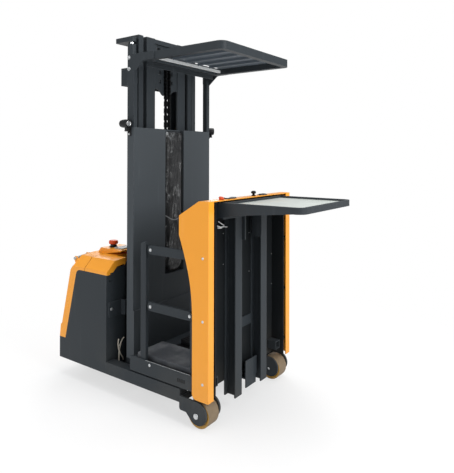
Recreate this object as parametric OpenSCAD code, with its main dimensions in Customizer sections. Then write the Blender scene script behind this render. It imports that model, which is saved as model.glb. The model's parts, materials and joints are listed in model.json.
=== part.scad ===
// Order picker truck: a ride-on picker with a lifting cabin between two load legs.
// +X points forward to the picking tray, +Y to the left, +Z up.
// The origin is on the floor, under the middle of the truck. All sizes are millimetres.

/* [Chassis] */
// Width over the chassis side plates
chassis_w = 934; // [880:2:1000]
// Distance from the origin back to the rear skirt
rear_x = 943; // [900:1:980]
// Floor clearance under the chassis
skirt_z = 124; // [110:1:140]
// Height of a load leg
leg_h = 77; // [60:1:80]
// Width of a load leg
leg_w = 70; // [50:1:80]
// Distance from the origin forward to the end of a leg
leg_end_x = 205; // [180:1:230]
// Steel sheet thickness of covers and skins
sheet = 6; // [4:0.5:8]

/* [Power unit] */
// Distance from the origin back to the power unit's front wall
unit_front_x = 444; // [430:1:460]
// Height of the dark side panels
side_h = 775; // [740:1:800]
// Height of the hood's crown
crown_z = 872; // [850:1:900]
// Height of the orange lip below the hood's shoulder
lip_h = 20; // [12:1:30]
// Inward run of the hood's shoulder
shoulder_in = 67; // [50:1:80]
// Distance from the origin back to the hood's rear seam
seam_x = 665; // [640:1:690]
// Top of the dark rear skirt, where the orange pillars start
pillar_z = 271; // [240:1:300]
// Forward lean of the rear face from its foot to the top of the side panels
rear_lean = 120; // [90:1:150]
// Width of the orange rear pillars seen from the side
pillar_w = 64; // [50:1:80]
// Half width of the bay that the mast stands in
bay_half_w = 300; // [296:1:320]
// Depth of that bay
bay_d = 74; // [70:1:90]

/* [Wheels] */
// Radius of a load wheel
load_r = 79; // [70:1:80]
// Width of a load wheel
load_w = 99; // [80:1:100]
// Distance from the origin forward to the load axle
load_x = 331; // [320:1:345]
// Distance from the middle to the outer side of a load wheel
load_out_y = 449; // [445:1:451]
// Radius of a load wheel's axle
axle_r = 10; // [8:0.5:12]
// Radius of the drive wheel
drive_r = 115; // [105:1:118]
// Width of the drive wheel
drive_w = 76; // [60:1:90]
// Distance from the origin back to the steering axis
steer_x = 800; // [785:1:805]
// Radius of a caster wheel
caster_r = 45; // [40:1:48]
// Width of a caster wheel
caster_w = 32; // [24:1:36]
// Distance from the origin back to the caster swivels
caster_x = 600; // [590:1:620]
// Distance from the middle to a caster swivel
caster_y = 206; // [200:1:212]
// Trail of a caster
caster_trail = 26; // [20:1:30]

/* [Mast] */
// Front face of the mast channels behind the origin
mast_front_x = 338; // [334:1:340]
// Depth of the mast channels
mast_d = 98; // [90:1:100]
// Flange and web thickness of the channels
mast_t = 12; // [8:1:14]
// Outer side of the outer channels from the middle
outer_y = 280; // [274:1:282]
// Flange width of an outer channel
outer_flange = 44; // [40:1:50]
// Outer side of the inner channels from the middle
inner_y = 203; // [200:1:212]
// Flange width of an inner channel
inner_flange = 83; // [80:1:92]
// Height of the lowered mast
mast_top = 2405; // [2380:1:2430]
// Radius of a lift cylinder
cyl_r = 29; // [24:1:29]
// Radius of its rod
rod_r = 14; // [10:1:18]
// Underside of the crosshead
crosshead_z = 2350; // [2346:1:2352]
// Thickness of the crosshead
crosshead_t = 32; // [28:1:34]

/* [Cabin] */
// Underside of the platform
platform_z = 206.5; // [206.5:0.5:212]
// Thickness of the platform
platform_t = 65.5; // [55:0.5:70]
// Distance from the origin back to the platform's rear edge
platform_rear_x = 214; // [205:1:225]
// Height of the kerb along the platform's sides
kerb_h = 31; // [25:1:40]
// Distance from the origin back to the face of the rear panel
panel_x = 256; // [250:1:260]
// Half width of the rear panel
panel_half_w = 402; // [396:1:410]
// Height of the rear panel's top
panel_top = 1760; // [1700:1:1800]
// Depth of the rear panel's side flanges
panel_flange = 60; // [50:1:62]
// Height of the guard's top
guard_top = 2242; // [2220:1:2260]
// Height of the guard's frame
guard_h = 50; // [40:1:60]
// Half width of the guard
guard_half_w = 393; // [385:1:394]
// Distance from the origin forward to the guard's front edge
guard_front_x = 464; // [440:1:480]

/* [Console] */
// Distance from the origin forward to the front fold of the side covers
cover_front_x = 421; // [410:1:430]
// Distance from the origin forward to the rear edge of the side covers
cover_rear_x = 302; // [300:1:310]
// Distance from the origin forward to the operator's side of the desk
desk_rear_x = 200; // [190:1:215]
// Outer half width over the side covers
cover_half_w = 470.6; // [470:0.1:474]
// Underside of the side covers
cover_z = 173; // [171:1:180]
// Top of the side covers
cover_top = 1313; // [1300:1:1320]
// Width of the side covers' front flange
cover_flange = 51; // [40:1:55]
// Distance from the origin forward to the face of the front panel
front_panel_x = 320; // [316:1:322]
// Half width of the front panel
front_half_w = 391; // [385:1:392]
// Half width of the control desk
desk_half_w = 414; // [400:1:415]

/* [Front rails and tray] */
// Front face of the rails
rail_front_x = 406; // [400:1:408]
// Inner side of a rail from the middle
rail_in_y = 111; // [105:1:120]
// Width of a rail's flanges
rail_flange = 71; // [60:1:76]
// Lower end of the rails
rail_z = 91; // [80:1:100]
// Distance from the origin forward to the tray's front edge
tray_front_x = 943; // [900:1:980]
// Half width of the tray
tray_half_w = 334; // [320:1:340]
// Height of the tray's rim
tray_top = 1299; // [1290:1:1301]
// Depth of the tray's rim at the front
tray_rim_h = 37; // [30:1:45]
// Depth of the tray's side plates at the rails
tray_root_h = 100; // [80:1:110]

/* [Side gates] */
// Distance from the origin back to the gates' pivots
gate_x = 42; // [38:1:48]
// Height of the upper pivot
gate_upper_z = 989; // [960:1:1000]
// Height of the lower pivot
gate_lower_z = 638; // [600:1:660]
// Distance between a bar's two pivots
gate_reach = 316; // [300:1:318]
// Height of a gate bar
gate_bar_h = 52; // [40:1:56]
// Thickness of a gate bar
gate_bar_t = 20; // [16:1:22]

/* [Hidden] */
$fn = 48;

dark = "#474b50";
darker = "#2b2e32";
orange = "#f0a032";
amber = "#b98a2e";
silver = "#b8babc";
black = "#1c1c1e";

side_y = chassis_w / 2;
leg_top = skirt_z + leg_h;
leg_in_y = side_y - leg_w;
mast_rear_x = mast_front_x + mast_d;
run = 5;
touch = 0.3;
bay_rear_x = unit_front_x + bay_d;
foot_t = 16;
mast_foot_z = skirt_z + foot_t;
cyl_y = outer_y + run + cyl_r + 2;
cyl_x = mast_front_x + cyl_r - 1;
roller_x = mast_front_x + mast_d / 2;
roller_r = mast_d / 2 - mast_t - touch;
floor_z = platform_z + platform_t;
kerb_top = floor_z + kerb_h;
cover_in_y = cover_half_w - sheet;
rail_d = rail_front_x - front_panel_x;
lip_z = side_h + lip_h;
flat_half = side_y - shoulder_in;
cover_shoulder_z = crown_z - 10;
crown_half = 292;
console_z = crown_z + 36;

// A box between two corners
module box(x, y, z) {
    translate([x[0], y[0], z[0]]) cube([x[1] - x[0], y[1] - y[0], z[1] - z[0]]);
}

// The children and their mirror image on the left side
module both() {
    children();
    mirror([0, 1, 0]) children();
}

// A profile drawn in X and Z, extruded along Y
module along_y(y0, y1) {
    translate([0, y1, 0]) rotate([90, 0, 0]) linear_extrude(y1 - y0) children();
}

// A profile drawn in Y and Z, extruded along X
module along_x(x0, x1) {
    translate([x0, 0, 0]) rotate([90, 0, 90]) linear_extrude(x1 - x0) children();
}

// A round bar along Y
module bar_y(x, z, r, y0, y1) {
    translate([x, y1, z]) rotate([90, 0, 0]) cylinder(r = r, h = y1 - y0);
}

// A round bar along X
module bar_x(y, z, r, x0, x1) {
    translate([x0, y, z]) rotate([0, 90, 0]) cylinder(r = r, h = x1 - x0);
}

// Points of an arc, for use in a profile
function arc(cx, cz, r, a0, a1, n = 8) =
    [for (i = [0 : n]) [cx + r * cos(a0 + (a1 - a0) * i / n), cz + r * sin(a0 + (a1 - a0) * i / n)]];

// A rectangle with round corners, in the plane
module round_rect(x0, y0, x1, y1, r) {
    translate([x0 + r, y0]) square([x1 - x0 - 2 * r, y1 - y0]);
    translate([x0, y0 + r]) square([x1 - x0, y1 - y0 - 2 * r]);
    for (x = [x0 + r, x1 - r]) for (y = [y0 + r, y1 - r]) translate([x, y]) circle(r = r);
}

// Legs, floor plate and the bridge that carries the steered wheel
bridge_z = drive_r * 2 + 34;
bridge_t = 8;
turret_r = 92;
module leg_tube() {
    difference() {
        box([-unit_front_x, leg_end_x], [-side_y, -leg_in_y], [skirt_z, leg_top]);
        box([-unit_front_x - 1, leg_end_x - sheet], [-side_y + sheet, -leg_in_y - sheet],
            [skirt_z + sheet, leg_top - sheet]);
    }
}

module base_frame() color(dark) {
    both() leg_tube();
    box([-bay_rear_x + sheet, -mast_front_x + 14], [-leg_in_y, leg_in_y], [skirt_z, mast_foot_z]);
    both() box([-bay_rear_x + sheet, -unit_front_x], [-side_y + sheet, -leg_in_y],
        [skirt_z, skirt_z + sheet]);
    difference() {
        box([-rear_x + sheet, -bay_rear_x + sheet], [-side_y + sheet, side_y - sheet],
            [skirt_z, skirt_z + sheet]);
        translate([-steer_x, 0, skirt_z - 1]) cylinder(r = drive_r + 15, h = sheet + 2);
    }
}

module drive_bridge() color(dark) {
    difference() {
        box([-rear_x + 40, -bay_rear_x - 20], [-side_y + sheet, side_y - sheet],
            [bridge_z, bridge_z + bridge_t]);
        translate([-steer_x, 0, bridge_z - 1]) cylinder(r = turret_r + run, h = bridge_t + 2);
    }
    both() box([-rear_x + 40, -bay_rear_x - 20], [-side_y + sheet, -side_y + sheet + bridge_t],
        [skirt_z + sheet, bridge_z]);
}

// Fork plates that carry the load wheels, welded to the ends of the legs
fork_t = 12;
fork_head_r = 66;
fork_head_x = load_x + 9;
fork_head_z = 96;
module fork_outline() {
    polygon(concat([[leg_end_x, fork_head_z + fork_head_r + 2]],
        arc(leg_end_x + 14, 98, 14, 180, 270, 4),
        [[257, 83]],
        arc(fork_head_x, fork_head_z, fork_head_r, 225, 450, 18)));
}

module load_forks() color(dark) both() {
    for (y = [-cover_half_w + touch, -load_out_y + load_w + 8]) difference() {
        along_y(y, y + fork_t) fork_outline();
        bar_y(load_x, load_r, axle_r, y - 1, y + fork_t + 1);
    }
    box([leg_end_x, leg_end_x + fork_t], [-cover_half_w + touch, -leg_in_y], [skirt_z, leg_top - 37]);
    box([leg_end_x, leg_end_x + fork_t], [-leg_in_y, -load_out_y + load_w + 8],
        [skirt_z, leg_top - 37]);
}

// Dark side panels and rear skirt of the power unit
pillar_lean = rear_lean / (side_h - pillar_z);
module side_profile() {
    inner = rear_x - pillar_w;
    polygon(concat([[-rear_x, skirt_z], [-unit_front_x, skirt_z], [-unit_front_x, side_h]],
        arc(-inner + rear_lean - 22 + 60, side_h - 42, 42, 90, 170, 6),
        [[-inner, pillar_z], [-rear_x, pillar_z]]));
}

module power_shell() color(dark) {
    both() along_y(-side_y, -side_y + sheet) side_profile();
    box([-rear_x, -rear_x + sheet], [-side_y + sheet, side_y - sheet], [skirt_z, pillar_z]);
}

// Front wall of the power unit with its bay for the mast, and the tie plates to the mast
tie_z = [491, 592];
module bulkhead() color(dark) {
    wall_x = [-unit_front_x - sheet, -unit_front_x];
    back_x = [-bay_rear_x - sheet, -bay_rear_x];
    front_top = cover_shoulder_z - 46;
    difference() {
        both() along_x(wall_x[0], wall_x[1]) polygon([[-side_y + sheet, skirt_z + sheet],
            [-leg_in_y, skirt_z + sheet], [-leg_in_y, mast_foot_z], [-bay_half_w, mast_foot_z],
            [-bay_half_w, front_top], [-flat_half + 8, front_top],
            [-side_y + sheet + 24, side_h], [-side_y + sheet, side_h]]);
        both() bar_x(-side_y + 32, side_h - 43, 7, wall_x[0] - 1, wall_x[1] + 1);
    }
    both() box([back_x[0], wall_x[0]], [-bay_half_w, -bay_half_w + sheet],
        [mast_foot_z, front_top]);
    box(back_x, [-bay_half_w + sheet, bay_half_w - sheet], [mast_foot_z, front_top]);
    both() translate([0, 0, tie_z[0]]) linear_extrude(tie_z[1] - tie_z[0]) tie_plan();
}

// Plan of a folded tie plate: flat on the wall, forward, then in to the web of the outer channel
module tie_plan() {
    fold_y = -bay_half_w - 40;
    fold_x = -mast_rear_x + 34;
    translate([-unit_front_x, -side_y + 21]) square([sheet, fold_y + side_y - 21 + sheet]);
    translate([-unit_front_x, fold_y]) square([fold_x + unit_front_x, sheet]);
    translate([fold_x - sheet, fold_y]) square([sheet, -outer_y - fold_y]);
}

// Cross-section of the orange cover: lip, shoulder and crown, drawn in by an inset
module cover_section(inset, low) {
    half = side_y - inset;
    polygon([[-half, low], [half, low], [half, lip_z - inset / 2],
        [flat_half - inset / 2, cover_shoulder_z - inset], [crown_half, crown_z - inset],
        [-crown_half, crown_z - inset], [-flat_half + inset / 2, cover_shoulder_z - inset],
        [-half, lip_z - inset / 2]]);
}

// Side outline of the orange rear cover, with the step at the foot of its pillars
seam_gap = 5;
module rear_outline(inset) {
    top = crown_z + 40;
    step_z = pillar_z + 88;
    polygon([[-rear_x + inset, pillar_z - 1], [-rear_x + 11 + inset, step_z],
        [-rear_x + 13 + pillar_lean * 50 + inset, step_z + 12], [-rear_x + rear_lean + inset, side_h - 8],
        [-rear_x + rear_lean + 28 + inset, lip_z + 4],
        [-rear_x + rear_lean + 46 + inset, top], [-seam_x - seam_gap, top],
        [-seam_x - seam_gap, pillar_z - 1]]);
}

handle_x = -812;
module handle_bar(r) translate([handle_x, -375, 848]) rotate([-83, 0, 0])
    cylinder(r = r, h = 138, center = true);

module handle_lug(y, z) along_y(y, y + 8)
    polygon([[handle_x - 15, z - 6], [handle_x - 8, z + 14], [handle_x + 8, z + 14],
        [handle_x + 46, z - 22], [handle_x + 30, z - 52], [handle_x + 8, z - 58]]);

module rear_cover() color(orange) difference() {
    union() {
        cover_skin();
        both() {
            handle_lug(-432, 841);
            handle_lug(-334, 853);
        }
    }
    both() handle_bar(9);
}

module cover_skin() {
    difference() {
        intersection() {
            along_x(-rear_x, -seam_x - seam_gap) cover_section(0, pillar_z);
            along_y(-side_y, side_y) rear_outline(0);
        }
        intersection() {
            along_x(-rear_x, -seam_x) cover_section(sheet, pillar_z - 2);
            along_y(-side_y, side_y) rear_outline(sheet);
        }
        both() along_y(-side_y - 1, -side_y + sheet + touch) side_profile();
    }
}

// Orange hood over the front of the power unit, notched for the mast
hood_flange = 42;
module hood_plan() {
    difference() {
        translate([-seam_x, -side_y]) square([seam_x - unit_front_x + sheet, chassis_w]);
        translate([-bay_rear_x - sheet, -bay_half_w]) square([bay_d + 60, 2 * bay_half_w]);
    }
}

module hood() color(orange) {
    difference() {
        intersection() {
            along_x(-seam_x, -unit_front_x + sheet) cover_section(0, side_h);
            translate([0, 0, side_h]) linear_extrude(crown_z) hood_plan();
        }
        difference() {
            along_x(-seam_x - 1, -unit_front_x) cover_section(sheet, side_h - 1);
            box([-bay_rear_x - 2 * sheet, -unit_front_x], [-bay_half_w - sheet, bay_half_w + sheet],
                [cover_shoulder_z - hood_flange, crown_z]);
        }
        along_x(-unit_front_x - 1, -unit_front_x + sheet + 1) cover_section(hood_flange, side_h - 40);
        box([-unit_front_x - 1, -unit_front_x + sheet + 1], [-side_y + 29, side_y - 29],
            [side_h - 1, side_h + 12]);
    }
}

// Orange wedge console on the power unit, leaning out over the hood
console_y = [-290, -110];
module control_console() color(orange) {
    along_y(console_y[0], console_y[1])
        polygon([[-seam_x - 75, crown_z], [-seam_x - 46, console_z], [-498, console_z],
            [-498, console_z - 10], [-seam_x + 14, crown_z]]);
}

// Red stop button on a black collar, and the grey display beside it
module console_controls() {
    translate([-652, -222, console_z]) {
        color(black) cylinder(r = 20, h = 14);
        color("#c8402e") rotate_extrude() polygon([[0, 14], [26, 14], [33, 20], [32, 32],
            [26, 39], [12, 42], [0, 42]]);
    }
    color(silver) box([-600, -520], [-262, -142], [console_z, console_z + 6]);
}

// Grab handles at the rear corners of the cover
module rear_handles() color(silver) both() handle_bar(9);

// Battery, one plain block behind the mast bay
module battery() color(darker)
    box([-bay_rear_x - sheet - 150, -bay_rear_x - sheet - 6], [-390, 390],
        [bridge_z + bridge_t, 745]);

// A C channel standing upright, its web outside, on the right-hand side
module channel(out_y, flange, z0, z1) {
    difference() {
        box([-mast_rear_x, -mast_front_x], [-out_y, -out_y + flange], [z0, z1]);
        box([-mast_rear_x + mast_t, -mast_front_x - mast_t], [-out_y + mast_t, -out_y + flange + 1],
            [z0 - 1, z1 + 1]);
    }
}

module outer_mast() color(dark) both() channel(outer_y, outer_flange, mast_foot_z, mast_top);

// Upper tie behind the outer mast with two lifting eyes, and the clamps of the cylinders
tie_top_z = 2190;
tie_low_z = 2066;
tie_back_x = mast_rear_x + 88;
eye_r = 17.5;
eye_y = 180;
eye_z = 2128;
module mast_crosstie() color(dark) {
    tie_half = outer_y - 11;
    difference() {
        box([-tie_back_x, -tie_back_x + 8], [-tie_half, tie_half], [tie_low_z, tie_top_z]);
        both() bar_x(-eye_y, eye_z, eye_r, -tie_back_x - 1, -tie_back_x + 9);
    }
    both() box([-tie_back_x + 8, -mast_rear_x], [-tie_half, -tie_half + 10], [tie_low_z, tie_top_z]);
    both() difference() {
        box([-cyl_x - cyl_r - 6, -cyl_x + 20], [-cyl_y - 14, -outer_y], [tie_low_z, tie_low_z + 40]);
        translate([-cyl_x, -cyl_y, tie_low_z - 1]) cylinder(r = cyl_r, h = 42);
    }
}

// Anchor of the chains' rear falls, an arm on the upper tie
module chain_anchor() color(dark)
    box([-tie_back_x + 8 + touch, -pulley_x - pulley_r + 4], [-30, 32], [chain_end_z - 25, chain_end_z - 5]);

// Lift cylinders beside the outer channels, each in a foot cup
barrel_top = crosshead_z - 32;
module lift_cylinders() both() translate([-cyl_x, -cyl_y, 0]) {
    color(dark) difference() {
        union() {
            translate([0, 0, mast_foot_z]) cylinder(r = cyl_r, h = barrel_top - mast_foot_z);
            translate([0, 0, mast_foot_z]) cylinder(r = cyl_r + 6, h = 30);
        }
        translate([0, 0, mast_foot_z + 40]) cylinder(r = cyl_r - 6, h = barrel_top);
    }
    color(black) difference() {
        translate([0, 0, barrel_top]) cylinder(r = cyl_r, h = 14);
        translate([0, 0, barrel_top - 1]) cylinder(r = rod_r + 0.1, h = 16);
    }
}

module lift_rods() color(silver) both() translate([-cyl_x, -cyl_y, 0]) {
    translate([0, 0, mast_foot_z + 60]) cylinder(r = rod_r, h = crosshead_z - mast_foot_z - 60);
    translate([0, 0, mast_foot_z + 60]) cylinder(r = cyl_r - 6.1, h = 40);
}

// Steered drive unit: flange on the bridge, fork, and the upright motor
module drive_turret() color(darker) translate([-steer_x, 0, 0]) {
    top = bridge_z + bridge_t;
    translate([0, 0, top + touch]) cylinder(r = turret_r + 24, h = 12);
    translate([0, 0, top + 12]) cylinder(r = 74, h = 190);
    translate([0, 0, top + 202]) cylinder(r = 52, h = 26);
    translate([0, 0, bridge_z - 14]) cylinder(r = turret_r, h = 30);
    for (s = [-1, 1]) translate([0, s * (drive_w / 2 + 13), 0]) {
        box([-32, 32], [-6, 6], [drive_r, bridge_z - 10]);
        bar_y(0, drive_r, 32, -6, 6);
    }
}

module drive_wheel() translate([-steer_x, 0, 0]) {
    color(amber) difference() {
        bar_y(0, drive_r, drive_r, -drive_w / 2, drive_w / 2);
        bar_y(0, drive_r, drive_r - 22, -drive_w / 2 - 1, drive_w / 2 + 1);
    }
    color(dark) bar_y(0, drive_r, drive_r - 22, -drive_w / 2 + 8, drive_w / 2 - 8);
    color(dark) bar_y(0, drive_r, 24, -drive_w / 2 - 6.7, drive_w / 2 + 6.7);
}

// A load wheel with its tread, hub and axle
tread_t = 20;
module load_wheel() {
    y0 = -load_out_y;
    y1 = y0 + load_w;
    color(amber) difference() {
        bar_y(load_x, load_r, load_r, y0, y1);
        bar_y(load_x, load_r, load_r - tread_t, y0 - 1, y1 + 1);
    }
    color(dark) bar_y(load_x, load_r, load_r - tread_t, y0 + 6, y1 - 6);
    color(dark) bar_y(load_x, load_r, 22, y0 - 5, y1 + 5);
    color(silver) bar_y(load_x, load_r, axle_r - 0.1, -cover_half_w - 3, y1 + 14);
}

module load_wheel_right() load_wheel();
module load_wheel_left() mirror([0, 1, 0]) load_wheel();

// A swivelling caster under the power unit, trailing to the rear
module caster_fork() color(silver) translate([-caster_x, -caster_y, 0]) {
    translate([0, 0, skirt_z - 8]) cylinder(r = 34, h = 8 - touch);
    translate([0, 0, 2 * caster_r + 6]) cylinder(r = 26, h = skirt_z - 8 - 2 * caster_r - 6);
    for (s = [-1, 1]) translate([0, s * (caster_w / 2 + 6), 0]) along_y(-2, 2)
        polygon([[-26, 2 * caster_r + 10], [-caster_trail - 12, caster_r - 6],
            [-caster_trail + 12, caster_r - 6], [26, 2 * caster_r + 10]]);
    box([-26, 26], [-caster_w / 2 - 8, caster_w / 2 + 8], [2 * caster_r + 6, 2 * caster_r + 10]);
}

module caster_wheel() color(black) translate([-caster_x - caster_trail, -caster_y, 0]) {
    bar_y(0, caster_r, caster_r, -caster_w / 2, caster_w / 2);
    bar_y(0, caster_r, 8, -caster_w / 2 - 3.7, caster_w / 2 + 3.7);
}

module caster_fork_right() caster_fork();
module caster_fork_left() mirror([0, 1, 0]) caster_fork();
module caster_wheel_right() caster_wheel();
module caster_wheel_left() mirror([0, 1, 0]) caster_wheel();

// Inner mast: channels, bottom tie and the front bracket of the chain wheels
inner_z = mast_foot_z + 12;
pulley_x = mast_front_x + 34;
pulley_r = 34;
pulley_z = 2290;
chain_y = [-17, 19];
chain_w = 28;
bracket_low = 2009;
bracket_x = [-mast_front_x - 14, -mast_front_x - 6];
module bracket_outline(half) {
    top = mast_top - 3;
    polygon(concat([[-half, top], [-half, bracket_low + 44], [-108, bracket_low + 44]],
        arc(-108, bracket_low - 28, 72, 90, 30, 6), [[-30, bracket_low], [30, bracket_low]],
        arc(108, bracket_low - 28, 72, 150, 90, 6), [[half, bracket_low + 44], [half, top]]));
}

module inner_mast() color(dark) {
    in_y = inner_y - inner_flange;
    both() channel(inner_y, inner_flange, inner_z, mast_top);
    box([-mast_rear_x, -mast_rear_x + mast_t], [-in_y, in_y], [inner_z, inner_z + 110]);
    along_x(bracket_x[0], bracket_x[1]) difference() {
        bracket_outline(in_y);
        for (y = [-62, 62]) for (z = [2093, 2160]) translate([y - 7, z]) square([14, 30]);
        translate([-96, pulley_z - 52]) square([192, crosshead_z + 20 - pulley_z + 52]);
    }
}

// Crosshead behind the channels, with a round lobe over each cylinder rod
module crosshead() color(dark) {
    in_y = inner_y - inner_flange;
    beam_x = [-mast_rear_x - run - 59, -mast_rear_x - run];
    lobe_y = cyl_y + cyl_r;
    translate([0, 0, crosshead_z]) linear_extrude(crosshead_t) {
        round_rect(beam_x[0], -lobe_y, beam_x[1], lobe_y, 10);
        both() {
            translate([-cyl_x, -cyl_y]) circle(r = cyl_r);
            translate([beam_x[0] + 20, -lobe_y]) square([-cyl_x - beam_x[0] - 20, 2 * cyl_r]);
        }
        translate([beam_x[1] - 20, -in_y]) square([bracket_x[0] - beam_x[1] + 20, 2 * in_y]);
        translate([beam_x[1] - 1, -inner_y]) square([run + 1, 2 * inner_y]);
    }
    box([bracket_x[1], -mast_front_x], [-in_y, in_y], [crosshead_z + 20, mast_top - 3]);
    for (y = [-52, 44]) difference() {
        box([-pulley_x - 12, bracket_x[0]], [y, y + 8], [pulley_z - 24, crosshead_z]);
        bar_y(-pulley_x, pulley_z, 9.1, y - 1, y + 9);
    }
}

// Mast rollers on the inner channels, and the chain wheels on their pin
module mast_rollers() color(silver) {
    both() for (z = [inner_z + 90, inner_z + 790]) {
        bar_y(-roller_x, z, roller_r, -inner_y - 60, -inner_y - 28);
        bar_y(-roller_x, z, 14, -inner_y - 28, -inner_y);
    }
    bar_y(-pulley_x, pulley_z, 9, -56, 56);
    for (y = chain_y) translate([-pulley_x, y + chain_w / 2 + 4, pulley_z]) rotate([90, 0, 0]) difference() {
        cylinder(r = pulley_r + 5, h = chain_w + 8);
        translate([0, 0, 3]) difference() {
            cylinder(r = pulley_r + 6, h = chain_w + 2);
            translate([0, 0, -1]) cylinder(r = pulley_r, h = chain_w + 4);
        }
    }
}

// Two leaf chains over the chain wheels: plate packs with a scalloped edge. The front falls run
// down to the cabin's carriage, the short rear falls end over the anchor on the mast's upper tie
chain_pitch = 25.4;
chain_t = 12;
chain_low = 420;
chain_end_z = 2150;
module chain_fall(x, y, low) {
    n = floor((pulley_z - low) / chain_pitch);
    for (i = [0 : n - 1]) translate([x, y, low + i * chain_pitch + chain_pitch / 2])
        box([-chain_t / 2 + (i % 2), chain_t / 2 - (i % 2)], [-chain_w / 2, chain_w / 2],
            [-chain_pitch / 2, chain_pitch / 2]);
    translate([x, y, 0])
        box([-chain_t / 2, chain_t / 2], [-chain_w / 2, chain_w / 2], [low + n * chain_pitch, pulley_z]);
}

module lift_chains() color(black) for (y = chain_y) {
    chain_fall(-pulley_x + pulley_r + touch + chain_t / 2, y, chain_low);
    chain_fall(-pulley_x - pulley_r - touch - chain_t / 2, y, chain_end_z);
    difference() {
        bar_y(-pulley_x, pulley_z, pulley_r + touch + chain_t, y - chain_w / 2, y + chain_w / 2);
        bar_y(-pulley_x, pulley_z, pulley_r + touch, y - 20, y + 20);
        box([-pulley_x - 60, -pulley_x + 60], [y - 20, y + 20], [pulley_z - 60, pulley_z]);
    }
}

// Platform: a folded pan with ribs, its kerbs and the joint to the rear panel
rib_y = [-300, -100, 100, 300];
module platform() color(dark) {
    plate_front = front_panel_x - 8;
    side_front = cover_rear_x - run;
    pan_half = side_y - sheet;
    difference() {
        union() {
            box([-platform_rear_x, side_front], [-pan_half, pan_half], [platform_z, floor_z]);
            box([-panel_x, -platform_rear_x], [-panel_half_w, panel_half_w], [platform_z, floor_z]);
            box([side_front, plate_front], [-front_half_w, front_half_w], [platform_z, floor_z]);
        }
        box([-platform_rear_x + sheet, side_front - sheet], [-pan_half + sheet, pan_half - sheet],
            [platform_z - 1, floor_z - sheet]);
    }
    for (y = rib_y) box([-platform_rear_x + sheet, side_front - sheet], [y - sheet / 2, y + sheet / 2],
        [platform_z + 12, floor_z - sheet]);
    both() box([-platform_rear_x, side_front], [-side_y, -side_y + sheet], [platform_z + 7, kerb_top]);
}

// Raised floor mats on both sides of the pedal
mat_in_y = 172;
module floor_mats() color(darker) both()
    translate([0, 0, floor_z]) linear_extrude(36)
        round_rect(-platform_rear_x + 6, -side_y + sheet + 50, cover_rear_x - 25, -mat_in_y, 18);

// Foot pedal between the mats
module foot_pedal() color(black) {
    box([-120, 90], [-130, 130], [floor_z, floor_z + 14]);
    along_y(-110, 110) polygon([[-100, floor_z + 14], [70, floor_z + 14], [70, floor_z + 30],
        [-60, floor_z + 52], [-100, floor_z + 40]]);
}

// Rear panel of the cabin, folded round the sides, with the recess of the backrest
recess_half = 98;
recess_d = 40;
recess_z = 735;
module backrest_panel() color(dark) {
    difference() {
        union() {
            box([-panel_x - sheet, -panel_x], [-panel_half_w, panel_half_w], [243, panel_top]);
            both() box([-panel_x - panel_flange, -panel_x - sheet],
                [-panel_half_w, -panel_half_w + sheet], [243, panel_top]);
            box([-panel_x - recess_d - 4, -panel_x - sheet], [-recess_half - 4, recess_half + 4],
                [recess_z, panel_top]);
        }
        box([-panel_x - recess_d, -panel_x + 1], [-recess_half, recess_half],
            [recess_z + 4, panel_top + 1]);
    }
    box([-panel_x, -panel_x + 8], [-panel_half_w, panel_half_w], [floor_z, 557]);
}

// Backrest cushion in the recess
module backrest_cushion() color(black)
    box([-panel_x - recess_d + touch, -panel_x + 8], [-recess_half + 6, recess_half - 6],
        [recess_z + 7, panel_top - 8]);

// Roller carriage behind the rear panel
carriage_y = 104;
module carriage() color(darker) both() {
    box([-mast_rear_x + 16, -panel_x - sheet], [-carriage_y, -carriage_y + 12], [290, recess_z - 5]);
    for (z = [335, recess_z - 45]) {
        bar_y(-roller_x, z, roller_r, -inner_y + 20, -inner_y + 48);
        bar_y(-roller_x, z, 14, -inner_y + 48, -carriage_y);
    }
}

// Overhead guard: posts above the rear panel, gussets, and the frame with round front corners
guard_z = guard_top - guard_h;
guard_wall = 40;
module gusset() {
    rear = -panel_x - panel_flange;
    polygon(concat([[rear, guard_top], [rear, 2146]], arc(rear + 26, 2146, 26, 180, 290, 6),
        [[-262, 2121], [-254, 2126], [-178, 2189], [-160, guard_z], [-80, guard_z], [-80, guard_top]]));
}

module guard_frame() color(dark) {
    post_y = panel_half_w;
    both() {
        box([-panel_x - panel_flange, -panel_x], [-post_y, -post_y + sheet], [panel_top, guard_z]);
        box([-panel_x - sheet, -panel_x], [-post_y + sheet, -post_y + 32], [panel_top, guard_z]);
        along_y(-post_y, -post_y + 9) gusset();
    }
    translate([0, 0, guard_z]) linear_extrude(guard_h) difference() {
        intersection() {
            round_rect(-600, -guard_half_w, guard_front_x, guard_half_w, 46);
            translate([-panel_x - panel_flange, -guard_half_w])
                square([guard_front_x + panel_x + panel_flange, 2 * guard_half_w]);
        }
        translate([-panel_x - panel_flange - 1, -guard_half_w + guard_wall])
            square([panel_x + panel_flange - 190 + 1, 2 * (guard_half_w - guard_wall)]);
        round_rect(-150, -guard_half_w + guard_wall, guard_front_x - guard_wall,
            guard_half_w - guard_wall, 24);
    }
    box([-190, -182], [-guard_half_w + guard_wall, guard_half_w - guard_wall],
        [guard_z - 32, guard_z]);
}

// Guard roof: a plate on fore-and-aft bars
roof_rear_x = -96;
roof_y = [-196, -65, 66, 197];
module guard_roof() color(dark) {
    half = guard_half_w - guard_wall;
    front = guard_front_x - guard_wall;
    translate([0, 0, guard_top - 10]) linear_extrude(6) intersection() {
        round_rect(-150, -half + touch, front - touch, half - touch, 24);
        translate([roof_rear_x, -half]) square([front - roof_rear_x, 2 * half]);
    }
    for (y = roof_y) box([roof_rear_x, front - touch], [y - 5, y + 5], [guard_z + 24, guard_top - 10]);
}

// Light bar across the rear ends of the roof's bars
module guard_light() color(silver)
    box([roof_rear_x - 14, roof_rear_x - touch], [-334, 334], [guard_z + 8, guard_z + 26]);

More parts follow.
